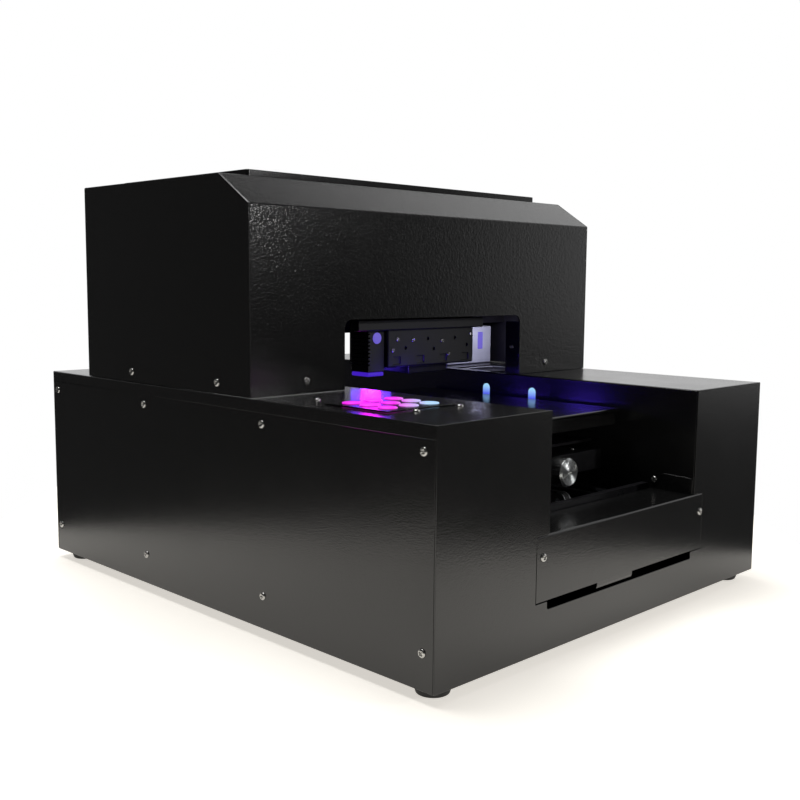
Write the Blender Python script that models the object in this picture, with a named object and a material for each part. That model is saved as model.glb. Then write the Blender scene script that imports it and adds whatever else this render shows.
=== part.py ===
"""Desktop flatbed UV printer, one object for each piece. Metres, +Z up, the machine's front faces -Y.

The origin is the middle of the base's footprint, on the surface that the feet stand on. A table slides
along Y in a channel through the base. A hood stands across the channel, and the print carriage runs along X
inside it.
"""

import math

import bmesh
import bpy
from mathutils import Matrix, Vector

# Driving dimensions
BASE_WIDTH = 0.540
BASE_DEPTH = 0.638
FOOT_HEIGHT = 0.010
DECK_TOP = 0.229
SHEET = 0.0015
GAP = 0.0003
CHANNEL_LEFT = -0.122
CHANNEL_RIGHT = 0.131
CHANNEL_SILL = 0.118
HOOD_FRONT = -0.076
HOOD_REAR = 0.231
HOOD_SHOULDER = 0.4115
HOOD_TOP = 0.442
HOOD_SLOPE_DEPTH = 0.0476
MOUTH_LEFT = -0.149
MOUTH_RIGHT = 0.1345
MOUTH_TOP = 0.301
REAR_MOUTH_RIGHT = 0.155
REAR_MOUTH_TOP = 0.267
FLANGE_DEPTH = 0.022
FAN_SPOT = (-0.197, 0.147)
PLATEN_TOP = 0.203
PLATEN_FRONT = -0.230
PLATEN_REAR = 0.070
PLATEN_LEFT = -0.116
PLATEN_RIGHT = 0.120
SHAFT_RADIUS = 0.006
BELT_THICK = 0.0015
BELT_WIDTH = 0.006
PULLEY_RADIUS = 0.008
KEY_RADIUS = 0.009
KEY_COLUMNS = (-0.229, -0.2025, -0.176)
KEY_ROWS = (-0.221, -0.198, -0.175)
LIFT_SPOT = (0.0, -0.075)
KNOB_HEIGHT = 0.1485
LID_HINGE = (0.2165, 0.4465)
ROUND = 24

# Places that follow from them
LEFT = -BASE_WIDTH / 2
RIGHT = BASE_WIDTH / 2
FRONT = -BASE_DEPTH / 2
REAR = BASE_DEPTH / 2 + 0.0019
REAR_PANEL = BASE_DEPTH / 2 - 0.002
LIP_BOTTOM = DECK_TOP - 0.0117
TRAY_TOP = FOOT_HEIGHT + SHEET
BED_TOP = 0.091
RAIL_HEIGHT = 0.115
RAIL_SIDES = (-0.075, 0.075)
X_SHAFT = (0.025, 0.303)
X_BELT_HEIGHT = 0.340
X_BELT_PLACE = 0.020
X_PULLEYS = (-0.235, 0.235)
Y_BELT_HEIGHT = 0.118
Y_PULLEYS = (-0.241, 0.262)
SENSOR_PLACES = (-0.099, -0.0275)
HEAD_RADIUS = 0.004
SMALL_HEAD_RADIUS = 0.0035
HEAD_HEIGHT = 0.0019
HEAD_ROOT = 0.0005
HEAD_SIDES = 16
SIDE_SCREWS = tuple((y, z) for z in (0.042, 0.207) for y in (-0.305, -0.095, 0.112, 0.306))
CHEEK_SCREWS = ((-0.0226, 0.2405), (0.1364, 0.2405))
HOOD_SCREWS = ((-0.200, 0.2415), (0.186, 0.2415))
COVER_SCREWS = ((-0.130, 0.098), (0.143, 0.098))
REAR_SCREWS = ((-0.252, 0.205), (-0.140, 0.205), (0.150, 0.205), (0.252, 0.205), (-0.252, 0.030),
               (0.252, 0.030))
DECK_SCREWS = ((-0.227, -0.124), (-0.217, -0.2445), (-0.161, -0.2445))
WALL_SCREW = (-0.270, 0.1276)
WORLD = (0.0, 0.0, 0.0)


def clear_scene():
    for thing in list(bpy.data.objects):
        bpy.data.objects.remove(thing)


def finish(name, red, green, blue, roughness, metallic=0.0):
    """A Principled material with one colour."""
    material = bpy.data.materials.new(name)
    material.use_nodes = True
    shader = material.node_tree.nodes["Principled BSDF"]
    shader.inputs["Base Color"].default_value = (red, green, blue, 1.0)
    shader.inputs["Roughness"].default_value = roughness
    shader.inputs["Metallic"].default_value = metallic
    return material


def place(name, bm, material, pivot):
    """Turns the built mesh into an object with its origin on the pivot. With no material it is a cutter."""
    mesh = bpy.data.meshes.new(name)
    bmesh.ops.translate(bm, vec=-Vector(pivot), verts=bm.verts)
    bm.to_mesh(mesh)
    bm.free()
    thing = bpy.data.objects.new(name, mesh)
    thing.location = pivot
    bpy.context.scene.collection.objects.link(thing)
    if material:
        mesh.materials.append(material)
    else:
        thing.hide_render = True
        thing.display_type = "WIRE"
    return thing


def block(name, low, high, material=None, pivot=WORLD):
    """A box between two corners."""
    bm = bmesh.new()
    centre = (Vector(low) + Vector(high)) / 2
    size = Vector(high) - Vector(low)
    bmesh.ops.create_cube(bm, size=1.0, matrix=Matrix.Translation(centre) @ Matrix.Diagonal((*size, 1.0)))
    return place(name, bm, material, pivot)


def along(axis, distance, first, second):
    """The point at a distance along one axis, with the other two coordinates in X, Y, Z order."""
    numbers = [first, second]
    numbers.insert("XYZ".index(axis), distance)
    return Vector(numbers)


def prism(name, outline, axis, start, end, material=None, pivot=WORLD):
    """A closed outline carried straight along one axis."""
    bm = bmesh.new()
    face = bm.faces.new([bm.verts.new(along(axis, start, *corner)) for corner in outline])
    grown = bmesh.ops.extrude_face_region(bm, geom=[face])["geom"]
    moved = [item for item in grown if isinstance(item, bmesh.types.BMVert)]
    bmesh.ops.translate(bm, vec=along(axis, end - start, 0, 0), verts=moved)
    bmesh.ops.recalc_face_normals(bm, faces=bm.faces)
    return place(name, bm, material, pivot)


def turned(name, profile, axis, centre, material=None, pivot=WORLD, sides=ROUND):
    """A (distance, radius) profile turned about an axis. It starts and ends on the axis."""
    bm = bmesh.new()
    line = [bm.verts.new(Vector(centre) + along(axis, distance, radius, 0)) for distance, radius in profile]
    edges = [bm.edges.new(pair) for pair in zip(line, line[1:])]
    way = along(axis, 1, 0, 0)
    bmesh.ops.spin(bm, geom=line + edges, cent=centre, axis=way, angle=2 * math.pi, steps=sides)
    bmesh.ops.remove_doubles(bm, verts=bm.verts, dist=1e-6)
    bmesh.ops.recalc_face_normals(bm, faces=bm.faces)
    thing = place(name, bm, material, pivot)
    thing.data.shade_smooth()
    thing.data.set_sharp_from_angle(angle=math.radians(35))
    return thing


def rod(name, axis, centre, radius, start, end, material=None, pivot=WORLD, sides=ROUND):
    """A plain round bar from start to end along the axis, as distances from the centre."""
    profile = [(start, 0), (start, radius), (end, radius), (end, 0)]
    return turned(name, profile, axis, centre, material, pivot, sides)


def combine(thing, operation, others):
    for other in others:
        other.hide_render = True
        other.display_type = "WIRE"
        change = thing.modifiers.new(operation.title() + "_" + other.name, "BOOLEAN")
        change.operation = operation
        change.solver = "EXACT"
        change.object = other
    return thing


def cut(thing, *cutters):
    return combine(thing, "DIFFERENCE", cutters)


def unite(thing, *extras):
    return combine(thing, "UNION", extras)


def screw_heads(thing, axis, face, way, places, radius=HEAD_RADIUS):
    """Pan heads that reach HEAD_HEIGHT out of a face, one at each place in the face's plane."""
    for index, spot in enumerate(places):
        centre = along(axis, face, *spot)
        ends = sorted((-HEAD_ROOT * way, HEAD_HEIGHT * way))
        head = rod(f"{thing.name}_head_{axis}{way}_{index}", axis, centre, radius, *ends, sides=HEAD_SIDES)
        unite(thing, head)


def loop_outline(start, end, height, radius, steps=8):
    """A belt's path round two pulleys on one level, as a closed outline."""
    turns = [math.pi * step / steps for step in range(steps + 1)]
    far = [(end + radius * math.sin(turn), height - radius * math.cos(turn)) for turn in turns]
    near = [(start - radius * math.sin(turn), height + radius * math.cos(turn)) for turn in turns]
    return far + near


BLACK = finish("powder_coat_black", 0.012, 0.012, 0.012, 0.38)
DARK = finish("black_oxide_steel", 0.02, 0.02, 0.022, 0.45, 0.6)
STEEL = finish("ground_steel", 0.55, 0.56, 0.58, 0.22, 1.0)
ALUMINIUM = finish("turned_aluminium", 0.70, 0.71, 0.72, 0.3, 1.0)
RUBBER = finish("black_rubber", 0.015, 0.015, 0.015, 0.8)
PLASTIC = finish("black_plastic", 0.02, 0.02, 0.022, 0.5)
GREY = finish("grey_plastic", 0.35, 0.36, 0.38, 0.5)
KEY_WHITE = finish("translucent_key", 0.75, 0.85, 1.0, 0.35)
LAMP = finish("lamp_housing", 0.05, 0.03, 0.09, 0.4, 0.3)
GLOW = finish("sensor_window", 0.80, 0.85, 1.0, 0.3)
BELT = finish("belt_rubber", 0.02, 0.02, 0.02, 0.7)


def make_base():
    """Tray, panels, deck covers and feet."""
    inner = 0.0018
    tray = block("base_tray", (LEFT + inner, FRONT + inner, FOOT_HEIGHT),
                 (RIGHT - inner, REAR_PANEL - inner, FOOT_HEIGHT + 0.022), BLACK)
    hollow = block("tray_hollow", (LEFT + inner + SHEET, FRONT + inner + SHEET, TRAY_TOP),
                   (RIGHT - inner - SHEET, REAR_PANEL - inner - SHEET, FOOT_HEIGHT + 0.03))
    cut(tray, hollow)
    for name, outer, inward in (("left_side_panel", LEFT, 1), ("right_side_panel", RIGHT, -1)):
        sides = sorted((outer, outer + inward * SHEET))
        panel = block(name, (sides[0], FRONT + inner, FOOT_HEIGHT),
                      (sides[1], REAR_PANEL - inner, LIP_BOTTOM - GAP), BLACK)
        screw_heads(panel, "X", outer, -inward, SIDE_SCREWS)
    deck_cover("left_deck_cover", LEFT, CHANNEL_LEFT)
    deck_cover("right_deck_cover", RIGHT, CHANNEL_RIGHT)
    for name, x in (("left", LEFT + 0.024), ("right", RIGHT - 0.024)):
        for end, y in (("front", FRONT + 0.024), ("rear", REAR_PANEL - 0.024)):
            top = FOOT_HEIGHT - GAP
            profile = [(0, 0), (0, 0.0135), (0.0015, 0.0150), (top, 0.0175), (top, 0)]
            turned("foot_" + end + "_" + name, profile, "Z", (x, y, 0), RUBBER)


def deck_cover(name, outer, inner):
    """A folded sheet: a short lip outside, the flat deck, and a deep wall down into the channel."""
    side = 1 if outer < inner else -1
    wall_foot = BED_TOP + 0.004
    outline = [
        (outer, LIP_BOTTOM), (outer, DECK_TOP), (inner, DECK_TOP), (inner, wall_foot),
        (inner - side * SHEET, wall_foot), (inner - side * SHEET, DECK_TOP - SHEET),
        (outer + side * SHEET, DECK_TOP - SHEET), (outer + side * SHEET, LIP_BOTTOM),
    ]
    cover = prism(name, outline, "Y", FRONT + 0.0018, REAR_PANEL - 0.0018, BLACK)
    screw_heads(cover, "X", inner, side, [WALL_SCREW], SMALL_HEAD_RADIUS)
    if side > 0:
        cut(cover, block("keypad_window", (-0.244, -0.236, 0.2), (-0.161, -0.160, 0.25)))
        screw_heads(cover, "Z", DECK_TOP, 1, DECK_SCREWS, SMALL_HEAD_RADIUS)
        return
    cut(cover, block("cap_window", (0.146, -0.030, 0.2), (0.222, 0.040, 0.25)))
    for index, y in enumerate(SENSOR_PLACES):
        cut(cover, sensor_window(f"sensor_slot_{index}", y, GAP, CHANNEL_RIGHT - 2 * SHEET,
                                 CHANNEL_RIGHT + 2 * SHEET))


def sensor_window(name, y, spare, start, end):
    """An upright slot shape with round ends, 11 mm wide and 25 mm high, in the channel's right wall."""
    radius = 0.0055 + spare
    low, high = 0.1955, 0.2090
    turns = [math.pi * step / 8 for step in range(9)]
    top = [(y + radius * math.cos(turn), high + radius * math.sin(turn)) for turn in turns]
    bottom = [(y - radius * math.cos(turn), low - radius * math.sin(turn)) for turn in turns]
    return prism(name, top + bottom, "X", start, end)


def make_front():
    """The front panel with its stepped cut-out, and the access cover that closes the lower part of it."""
    back = FRONT + SHEET
    panel = block("front_panel", (LEFT, FRONT, FOOT_HEIGHT), (RIGHT, back, DECK_TOP), BLACK)
    channel = block("front_channel_cut", (CHANNEL_LEFT + 0.0005, FRONT - 0.01, CHANNEL_SILL - 0.001),
                    (CHANNEL_RIGHT, back + 0.01, DECK_TOP + 0.01))
    recess = block("front_cover_cut", (-0.140, FRONT - 0.01, 0.0565), (0.148, back + 0.01, CHANNEL_SILL))
    slot = block("front_slot_cut", (-0.123, FRONT - 0.01, 0.0490), (0.127, back + 0.01, 0.058))
    cut(panel, channel, recess, slot)
    flange_rear, shelf_rear = FRONT + 0.038, FRONT + 0.053
    cover = block("access_cover", (-0.1393, FRONT, 0.0575), (0.1473, back, CHANNEL_SILL - GAP), BLACK)
    shelf = block("cover_shelf", (CHANNEL_LEFT + 0.001, FRONT, CHANNEL_SILL - GAP - SHEET),
                  (CHANNEL_RIGHT - 0.0008, shelf_rear, CHANNEL_SILL - GAP))
    tongue = block("cover_tongue", (-0.045, FRONT, 0.0515), (0.015, back, 0.0590))
    flanges = []
    for index, (low, high) in enumerate(((CHANNEL_LEFT + 0.001, CHANNEL_LEFT + 0.0025),
                                         (CHANNEL_RIGHT - 0.0023, CHANNEL_RIGHT - 0.0008))):
        outline = [(FRONT + 0.002, CHANNEL_SILL - 0.0012), (FRONT + 0.002, 0.1350), (flange_rear, 0.1362),
                   (flange_rear, CHANNEL_SILL - 0.0012)]
        flanges.append(prism(f"cover_flange_{index}", outline, "X", low, high))
    unite(cover, shelf, tongue, *flanges)
    screw_heads(cover, "Y", FRONT, -1, COVER_SCREWS)


def make_rear():
    """The rear panel with the channel's way out, the mains inlet, the switch and the fan."""
    front = REAR_PANEL - SHEET
    panel = block("rear_panel", (LEFT, front, FOOT_HEIGHT), (RIGHT, REAR_PANEL, DECK_TOP), BLACK)
    cut(panel, block("rear_channel_cut", (CHANNEL_LEFT, front - 0.01, CHANNEL_SILL),
                     (CHANNEL_RIGHT, REAR_PANEL + 0.01, DECK_TOP + 0.01)))
    cut(panel, block("inlet_cut", (0.1857, front - 0.01, 0.0497), (0.2143, REAR_PANEL + 0.01, 0.0703)))
    cut(panel, block("switch_cut", (0.1497, front - 0.01, 0.0527), (0.1703, REAR_PANEL + 0.01, 0.0673)))
    for index in range(5):
        low = 0.1195 + 0.011 * index
        cut(panel, block(f"fan_slot_{index}", (-0.222, front - 0.01, low),
                         (-0.172, REAR_PANEL + 0.01, low + 0.006)))
    screw_heads(panel, "Y", REAR_PANEL, 1, REAR_SCREWS)
    inlet = block("power_inlet", (0.186, 0.292, 0.050), (0.214, REAR - 0.0003, 0.070), PLASTIC)
    bezel = block("inlet_bezel", (0.182, REAR_PANEL + GAP, 0.046), (0.218, REAR, 0.074))
    socket = block("inlet_socket", (0.190, 0.302, 0.0535), (0.210, REAR + 0.01, 0.0665))
    cut(unite(inlet, bezel), socket)
    pivot = (0.160, REAR_PANEL - 0.004, 0.060)
    rocker = [(-0.0085, -0.006), (0.0085, -0.006), (0.0085, 0.0035), (0.0, 0.0045), (-0.0085, 0.0060)]
    outline = [(pivot[0] + x, pivot[1] + y) for x, y in rocker]
    prism("power_switch", outline, "Z", 0.0535, 0.0665, PLASTIC, pivot)
    x, z = FAN_SPOT
    back = front - 0.0253
    ring = block("fan_frame", (x - 0.030, back, z - 0.030), (x + 0.030, front - GAP, z + 0.030), PLASTIC)
    cut(ring, rod("fan_bore", "Y", (x, front, z), 0.0275, -0.03, 0.03, sides=32))
    for name, across, up in (("fan_spoke_across", 0.029, 0.0025), ("fan_spoke_upright", 0.0025, 0.029)):
        unite(ring, block(name, (x - across, back, z - up), (x + across, back + 0.003, z + up)))
    fan_rotor((x, front - 0.010, z))


def fan_rotor(centre):
    """A hub with seven pitched blades, which turns on the Y axis."""
    rotor = rod("fan_rotor", "Y", centre, 0.0115, -0.0115, 0.0065, PLASTIC, centre)
    bm = bmesh.new()
    for index in range(7):
        turn = Matrix.Rotation(2 * math.pi * index / 7, 4, "Y")
        pitch = Matrix.Rotation(math.radians(38), 4, "Z")
        reach = Matrix.Translation((0, 0, 0.0182))
        bmesh.ops.create_cube(bm, size=1.0, matrix=Matrix.Translation(centre) @ turn @ reach @ pitch
                              @ Matrix.Diagonal((0.0015, 0.013, 0.0155, 1.0)))
    blades = place("fan_blades", bm, None, centre)
    unite(rotor, blades)


def make_rails():
    """The bed with its upturned ends, the two shafts, and the motor and belt that move the table."""
    low, high = CHANNEL_LEFT + 0.003, CHANNEL_RIGHT - 0.003
    bed = block("rail_bed", (low, -0.264, BED_TOP - 0.003), (high, 0.300, BED_TOP), DARK)
    front_end = block("bed_front", (low, -0.264, BED_TOP - 0.003), (high, -0.256, 0.1235))
    rear_end = block("bed_rear", (low, 0.292, BED_TOP - 0.003), (high, 0.300, 0.1315))
    unite(bed, front_end, rear_end)
    legs = [block(f"bed_leg_{index}", (side - 0.006, -0.255, TRAY_TOP + GAP),
                  (side + 0.006, 0.290, BED_TOP - 0.001))
            for index, side in enumerate((-0.100, 0.106))]
    unite(bed, *legs)
    for name, side in zip(("left", "right"), RAIL_SIDES):
        centre = (side, 0, RAIL_HEIGHT)
        cut(bed, rod("bed_hole_" + name, "Y", centre, SHAFT_RADIUS + GAP, -0.3, 0.32))
        rod("y_rail_" + name, "Y", centre, SHAFT_RADIUS, -0.2650, 0.3010, STEEL)
        bearing = block("bearing_" + name, (side - 0.016, -0.165, 0.1000),
                        (side + 0.016, 0.035, 0.1652), ALUMINIUM)
        cut(bearing, rod("bearing_bore_" + name, "Y", centre, SHAFT_RADIUS + GAP, -0.2, 0.1))
    outer = PULLEY_RADIUS + GAP + BELT_THICK
    belt = prism("y_belt", loop_outline(*Y_PULLEYS, Y_BELT_HEIGHT, outer), "X", -0.003, 0.003, BELT)
    inside = loop_outline(*Y_PULLEYS, Y_BELT_HEIGHT, outer - BELT_THICK)
    cut(belt, prism("y_belt_inside", inside, "X", -0.01, 0.01))
    pulley("y_drive_pulley", "X", (0, Y_PULLEYS[1], Y_BELT_HEIGHT))
    pulley("y_idler_pulley", "X", (0, Y_PULLEYS[0], Y_BELT_HEIGHT))
    motor = block("y_motor", (0.013, 0.241, 0.097), (0.053, 0.283, 0.139), DARK)
    unite(motor, rod("y_motor_boss", "X", (0.013, Y_PULLEYS[1], Y_BELT_HEIGHT), 0.011, -0.002, 0.004),
          rod("y_motor_shaft", "X", (0.013, Y_PULLEYS[1], Y_BELT_HEIGHT), 0.0025, -0.018, 0.004, sides=16))


def pulley(name, axis, centre):
    """A belt pulley with two flanges and a bore, made to turn on its own centre."""
    half = BELT_WIDTH / 2 + 0.0005
    rim = PULLEY_RADIUS + 0.0015
    profile = [(-half - 0.0015, 0), (-half - 0.0015, rim), (-half, rim), (-half, PULLEY_RADIUS),
               (half, PULLEY_RADIUS), (half, rim), (half + 0.0015, rim), (half + 0.0015, 0)]
    wheel = turned(name, profile, axis, centre, ALUMINIUM, centre)
    return cut(wheel, rod(name + "_bore", axis, centre, 0.0029, -0.02, 0.02, sides=16))


def make_table():
    """The carriage frame on the shafts, and the platen that the bevel gears and the screw lift above it."""
    frame = block("carriage_frame", (-0.100, -0.205, 0.1655), (0.104, 0.045, 0.1685), DARK)
    x, y = LIFT_SPOT
    cut(frame, rod("frame_hole", "Z", (x, y, 0.167), 0.0060, -0.01, 0.01))
    unite(frame, block("belt_clamp", (-0.008, 0.000, Y_BELT_HEIGHT + PULLEY_RADIUS + BELT_THICK + 2 * GAP),
                       (0.008, 0.025, 0.167)))
    bar = [(-0.2220, 0.1380), (-0.2220, 0.1600), (-0.1850, 0.1600), (-0.1850, 0.1652), (-0.1835, 0.1652),
           (-0.1835, 0.1585), (-0.2205, 0.1585), (-0.2205, 0.1380)]
    bracket = prism("knob_bracket", bar, "X", -0.090, 0.098, DARK)
    cut(bracket, rod("bracket_hole", "Y", (x, -0.221, KNOB_HEIGHT), 0.0045, -0.01, 0.01))
    make_lift(x, y)
    block("platen", (PLATEN_LEFT, PLATEN_FRONT, PLATEN_TOP - 0.0035),
          (PLATEN_RIGHT, PLATEN_REAR, PLATEN_TOP), DARK)


def make_lift(x, y):
    """Knob, shaft, mitre gears, screw and the lift frame under the platen."""
    knob_profile = [(-0.034, 0), (-0.034, 0.0125), (-0.0325, 0.0150), (-0.0140, 0.0150), (-0.0130, 0.0140),
                    (-0.0130, 0.0080), (-0.0045, 0.0080), (-0.0045, 0)]
    centre = (x, -0.2180, KNOB_HEIGHT)
    knob = turned("height_knob", knob_profile, "Y", centre, ALUMINIUM, centre, 32)
    cut(knob, rod("knob_bore", "Y", centre, 0.0043, -0.022, 0.01, sides=16))
    gear = 0.0087
    meet = (x, y, KNOB_HEIGHT)
    shaft_profile = [(-0.1640, 0), (-0.1640, 0.0040), (-0.0160, 0.0040), (-0.0160, gear), (-0.0091, gear),
                     (-0.0052, 0.0048), (-0.0052, 0)]
    turned("knob_shaft", shaft_profile, "Y", meet, STEEL, meet)
    nut_profile = [(0.0052, 0), (0.0052, 0.0048), (0.0091, gear), (0.0165, gear), (0.0165, 0)]
    nut = turned("lift_nut", nut_profile, "Z", meet, ALUMINIUM, meet)
    cut(nut, rod("nut_bore", "Z", meet, 0.0043, -0.01, 0.03))
    rod("lift_screw", "Z", (x, y, 0), 0.0040, 0.1420, 0.1945, STEEL)
    low, high = (PLATEN_LEFT + 0.003, PLATEN_FRONT + 0.003), (PLATEN_RIGHT - 0.003, PLATEN_REAR - 0.003)
    lift = block("lift_frame", (*low, 0.1850), (*high, PLATEN_TOP - 0.0038), DARK)
    cut(lift, block("lift_hollow", (low[0] + 0.002, low[1] + 0.002, 0.18),
                    (high[0] - 0.002, high[1] - 0.002, 0.1950)))


def make_hood():
    """The folded shell with its two tunnel mouths, the lid on top and the hinge behind it."""
    slope_end = HOOD_FRONT + HOOD_SLOPE_DEPTH
    foot = DECK_TOP + GAP
    outside = [(HOOD_FRONT, foot), (HOOD_FRONT, HOOD_SHOULDER), (slope_end, HOOD_TOP),
               (HOOD_REAR, HOOD_TOP), (HOOD_REAR, foot)]
    drop = SHEET * math.tan(math.atan2(HOOD_TOP - HOOD_SHOULDER, HOOD_SLOPE_DEPTH) / 2)
    inside = [(HOOD_FRONT + SHEET, foot - 0.01), (HOOD_FRONT + SHEET, HOOD_SHOULDER - drop),
              (slope_end + drop, HOOD_TOP - SHEET), (HOOD_REAR - SHEET, HOOD_TOP - SHEET),
              (HOOD_REAR - SHEET, foot - 0.01)]
    side = BASE_WIDTH / 2 - 0.001
    shell = prism("hood_shell", outside, "X", -side, side, BLACK)
    cut(shell, prism("hood_inside", inside, "X", -side + SHEET, side - SHEET))
    cut(shell, block("front_mouth", (MOUTH_LEFT, HOOD_FRONT - 0.01, 0.2),
                     (MOUTH_RIGHT, HOOD_FRONT + 0.01, MOUTH_TOP)))
    cut(shell, block("rear_mouth", (MOUTH_LEFT, HOOD_REAR - 0.01, 0.2),
                     (REAR_MOUTH_RIGHT, HOOD_REAR + 0.01, REAR_MOUTH_TOP)))
    cut(shell, block("lid_opening", (-0.200, -0.005, HOOD_TOP - 0.01), (0.190, 0.190, HOOD_TOP + 0.01)))
    unite(shell, block("mouth_flange", (MOUTH_RIGHT, HOOD_FRONT + 0.0005, foot),
                       (MOUTH_RIGHT + SHEET, HOOD_FRONT + FLANGE_DEPTH, MOUTH_TOP)))
    for face, way in ((-side, -1), (side, 1)):
        screw_heads(shell, "X", face, way, CHEEK_SCREWS)
    for face, way in ((HOOD_FRONT, -1), (HOOD_REAR, 1)):
        screw_heads(shell, "Y", face, way, HOOD_SCREWS)
    make_lid()


def make_lid():
    y, z = LID_HINGE
    pivot = (0, y, z)
    low = HOOD_TOP + GAP
    lid = block("hood_lid", (-0.2300, -0.0220, low), (0.2250, y - 0.0046, 0.4490), BLACK, pivot)
    cut(lid, block("lid_hollow", (-0.2285, -0.0205, low - 0.01), (0.2235, y - 0.0061, 0.4475)))
    hinge = block("lid_hinge", (-0.170, y + 0.0045, low), (0.170, HOOD_REAR - 0.002, low + 0.0015), STEEL)
    for index, middle in enumerate((-0.150, 0.150)):
        knuckle = rod(f"lid_knuckle_{index}", "X", (middle, y, z), 0.0025, -0.012, 0.012)
        tab = block(f"lid_tab_{index}", (middle - 0.0115, y - 0.0070, z - 0.0009),
                    (middle + 0.0115, y - 0.0012, z + 0.0022))
        bore = rod(f"knuckle_bore_{index}", "X", (middle, y, z), 0.0016, -0.02, 0.02, sides=16)
        cut(unite(lid, tab, knuckle), bore)
    for index, middle in enumerate((-0.1300, 0.0, 0.1300)):
        knuckle = rod(f"hinge_knuckle_{index}", "X", (middle, y, z), 0.0025, -0.0070, 0.0070)
        tab = block(f"hinge_tab_{index}", (middle - 0.0065, y + 0.0011, low + 0.0002),
                    (middle + 0.0065, y + 0.0060, z + 0.0007))
        unite(hinge, tab, knuckle)
    unite(hinge, rod("hinge_pin", "X", (0, y, z), 0.0012, -0.166, 0.166, sides=16))


def make_gantry():
    """The beam across the hood, the shaft and belt on it, the print carriage, and what it prints with."""
    side = BASE_WIDTH / 2 - 0.0045
    shelf = [(0.0550, 0.2850), (0.0550, 0.3450), (0.2270, 0.3450), (0.2270, 0.3435), (0.0565, 0.3435),
             (0.0565, 0.2850)]
    beam = prism("x_beam", shelf, "X", -side, side, DARK)
    ends = [block(f"beam_end_{index}", (x, -0.010, DECK_TOP + GAP), (x + 0.002, 0.2270, 0.3440))
            for index, x in enumerate((-side, side - 0.002))]
    unite(beam, *ends)
    y, z = X_SHAFT
    cut(beam, rod("beam_shaft_hole", "X", (0, y, z), SHAFT_RADIUS + GAP, -0.3, 0.3))
    rod("x_rail", "X", (0, y, z), SHAFT_RADIUS, -side - 0.0005, side + 0.0005, STEEL)
    outer = PULLEY_RADIUS + GAP + BELT_THICK
    belt = prism("x_belt", loop_outline(*X_PULLEYS, X_BELT_HEIGHT, outer), "Y", X_BELT_PLACE - 0.003,
                 X_BELT_PLACE + 0.003, BELT)
    inside = loop_outline(*X_PULLEYS, X_BELT_HEIGHT, outer - BELT_THICK)
    cut(belt, prism("x_belt_inside", inside, "Y", X_BELT_PLACE - 0.01, X_BELT_PLACE + 0.01))
    for name, x in zip(("x_idler_pulley", "x_drive_pulley"), X_PULLEYS):
        pulley(name, "Y", (x, X_BELT_PLACE, X_BELT_HEIGHT))
    place_y = (0.235, 0.0300, X_BELT_HEIGHT)
    motor = block("x_motor", (0.214, 0.0300, 0.319), (0.256, 0.0546, 0.361), DARK)
    unite(motor, rod("x_motor_boss", "Y", place_y, 0.011, -0.002, 0.004),
          rod("x_motor_shaft", "Y", place_y, 0.0025, -0.015, 0.004, sides=16))
    make_carriage()
    tank = block("ink_tanks", (-0.180, 0.105, 0.3453), (0.120, 0.205, 0.4050), GREY)
    for index in range(6):
        centre = (-0.155 + 0.050 * index, 0.155, 0.405)
        unite(tank, rod(f"tank_cap_{index}", "Z", centre, 0.014, -0.004, 0.012, sides=20))


def make_carriage():
    y, z = X_SHAFT
    body = block("head_carriage", (-0.0575, -0.0450, 0.2450), (0.0850, 0.0450, 0.3180), PLASTIC)
    brow = block("carriage_brow", (-0.1080, -0.0520, 0.2865), (0.0950, -0.0410, 0.2990))
    clamp = block("carriage_clamp", (0.000, 0.0120, 0.3150),
                  (0.020, 0.0280, X_BELT_HEIGHT - PULLEY_RADIUS - 0.0024))
    unite(body, brow, clamp)
    cut(body, rod("carriage_bore", "X", (0, y, z), SHAFT_RADIUS + GAP, -0.1, 0.1),
        block("carriage_notch", (-0.060, 0.018, 0.24), (-0.030, 0.050, 0.32)))
    block("print_head", (-0.0050, -0.0250, 0.2345), (0.0600, 0.0200, 0.2447), STEEL)
    block("uv_lamp", (-0.0830, -0.0400, 0.2360), (-0.0578, -0.0120, 0.3180), LAMP)
    station = block("service_station", (0.140, -0.060, 0.150), (0.236, 0.060, 0.2272), GREY)
    cut(station, block("station_well", (0.149, -0.027, 0.200), (0.219, 0.037, 0.24)))
    cap = block("cap_sled", (0.152, -0.024, 0.2010), (0.216, 0.034, 0.2230), GREY)
    lip = block("cap_lip", (0.156, -0.020, 0.2220), (0.212, 0.030, 0.2280))
    well = block("cap_well", (0.159, -0.017, 0.2240), (0.209, 0.027, 0.24))
    cut(unite(cap, lip), well)
    pump = block("suction_pump", (0.160, 0.066, DECK_TOP + GAP), (0.250, 0.120, 0.280), GREY)
    unite(pump, rod("pump_head", "Y", (0.205, 0.066, 0.256), 0.018, -0.008, 0.01))


def make_keypad():
    """The keypad's plate on the left deck, with nine keys that travel in its holes."""
    plate = block("keypad_plate", (-0.2470, -0.2390, DECK_TOP + GAP), (-0.1580, -0.1560, 0.2308), PLASTIC)
    for column, x in enumerate(KEY_COLUMNS):
        for row, y in enumerate(KEY_ROWS):
            number = 1 + column + 3 * row
            cut(plate, rod(f"key_hole_{number}", "Z", (x, y, 0.23), KEY_RADIUS + GAP, -0.01, 0.01))
            profile = [(0, 0), (0, KEY_RADIUS), (0.0048, KEY_RADIUS), (0.0054, KEY_RADIUS - 0.0008),
                       (0.0054, 0)]
            turned(f"key_{number}", profile, "Z", (x, y, 0.2264), KEY_WHITE, (x, y, 0.2264))


def make_electronics():
    """The sensor bar behind the channel's right wall. Its two windows reach into the wall's slots."""
    wall = CHANNEL_RIGHT + SHEET
    bar = block("sensor_bar", (wall + GAP, -0.115, 0.180), (wall + 0.003, -0.012, 0.2240), GLOW)
    unite(bar, *[sensor_window(f"window_{index}", y, 0.0, CHANNEL_RIGHT + 0.0002, wall + 0.001)
                 for index, y in enumerate(SENSOR_PLACES)])


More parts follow.
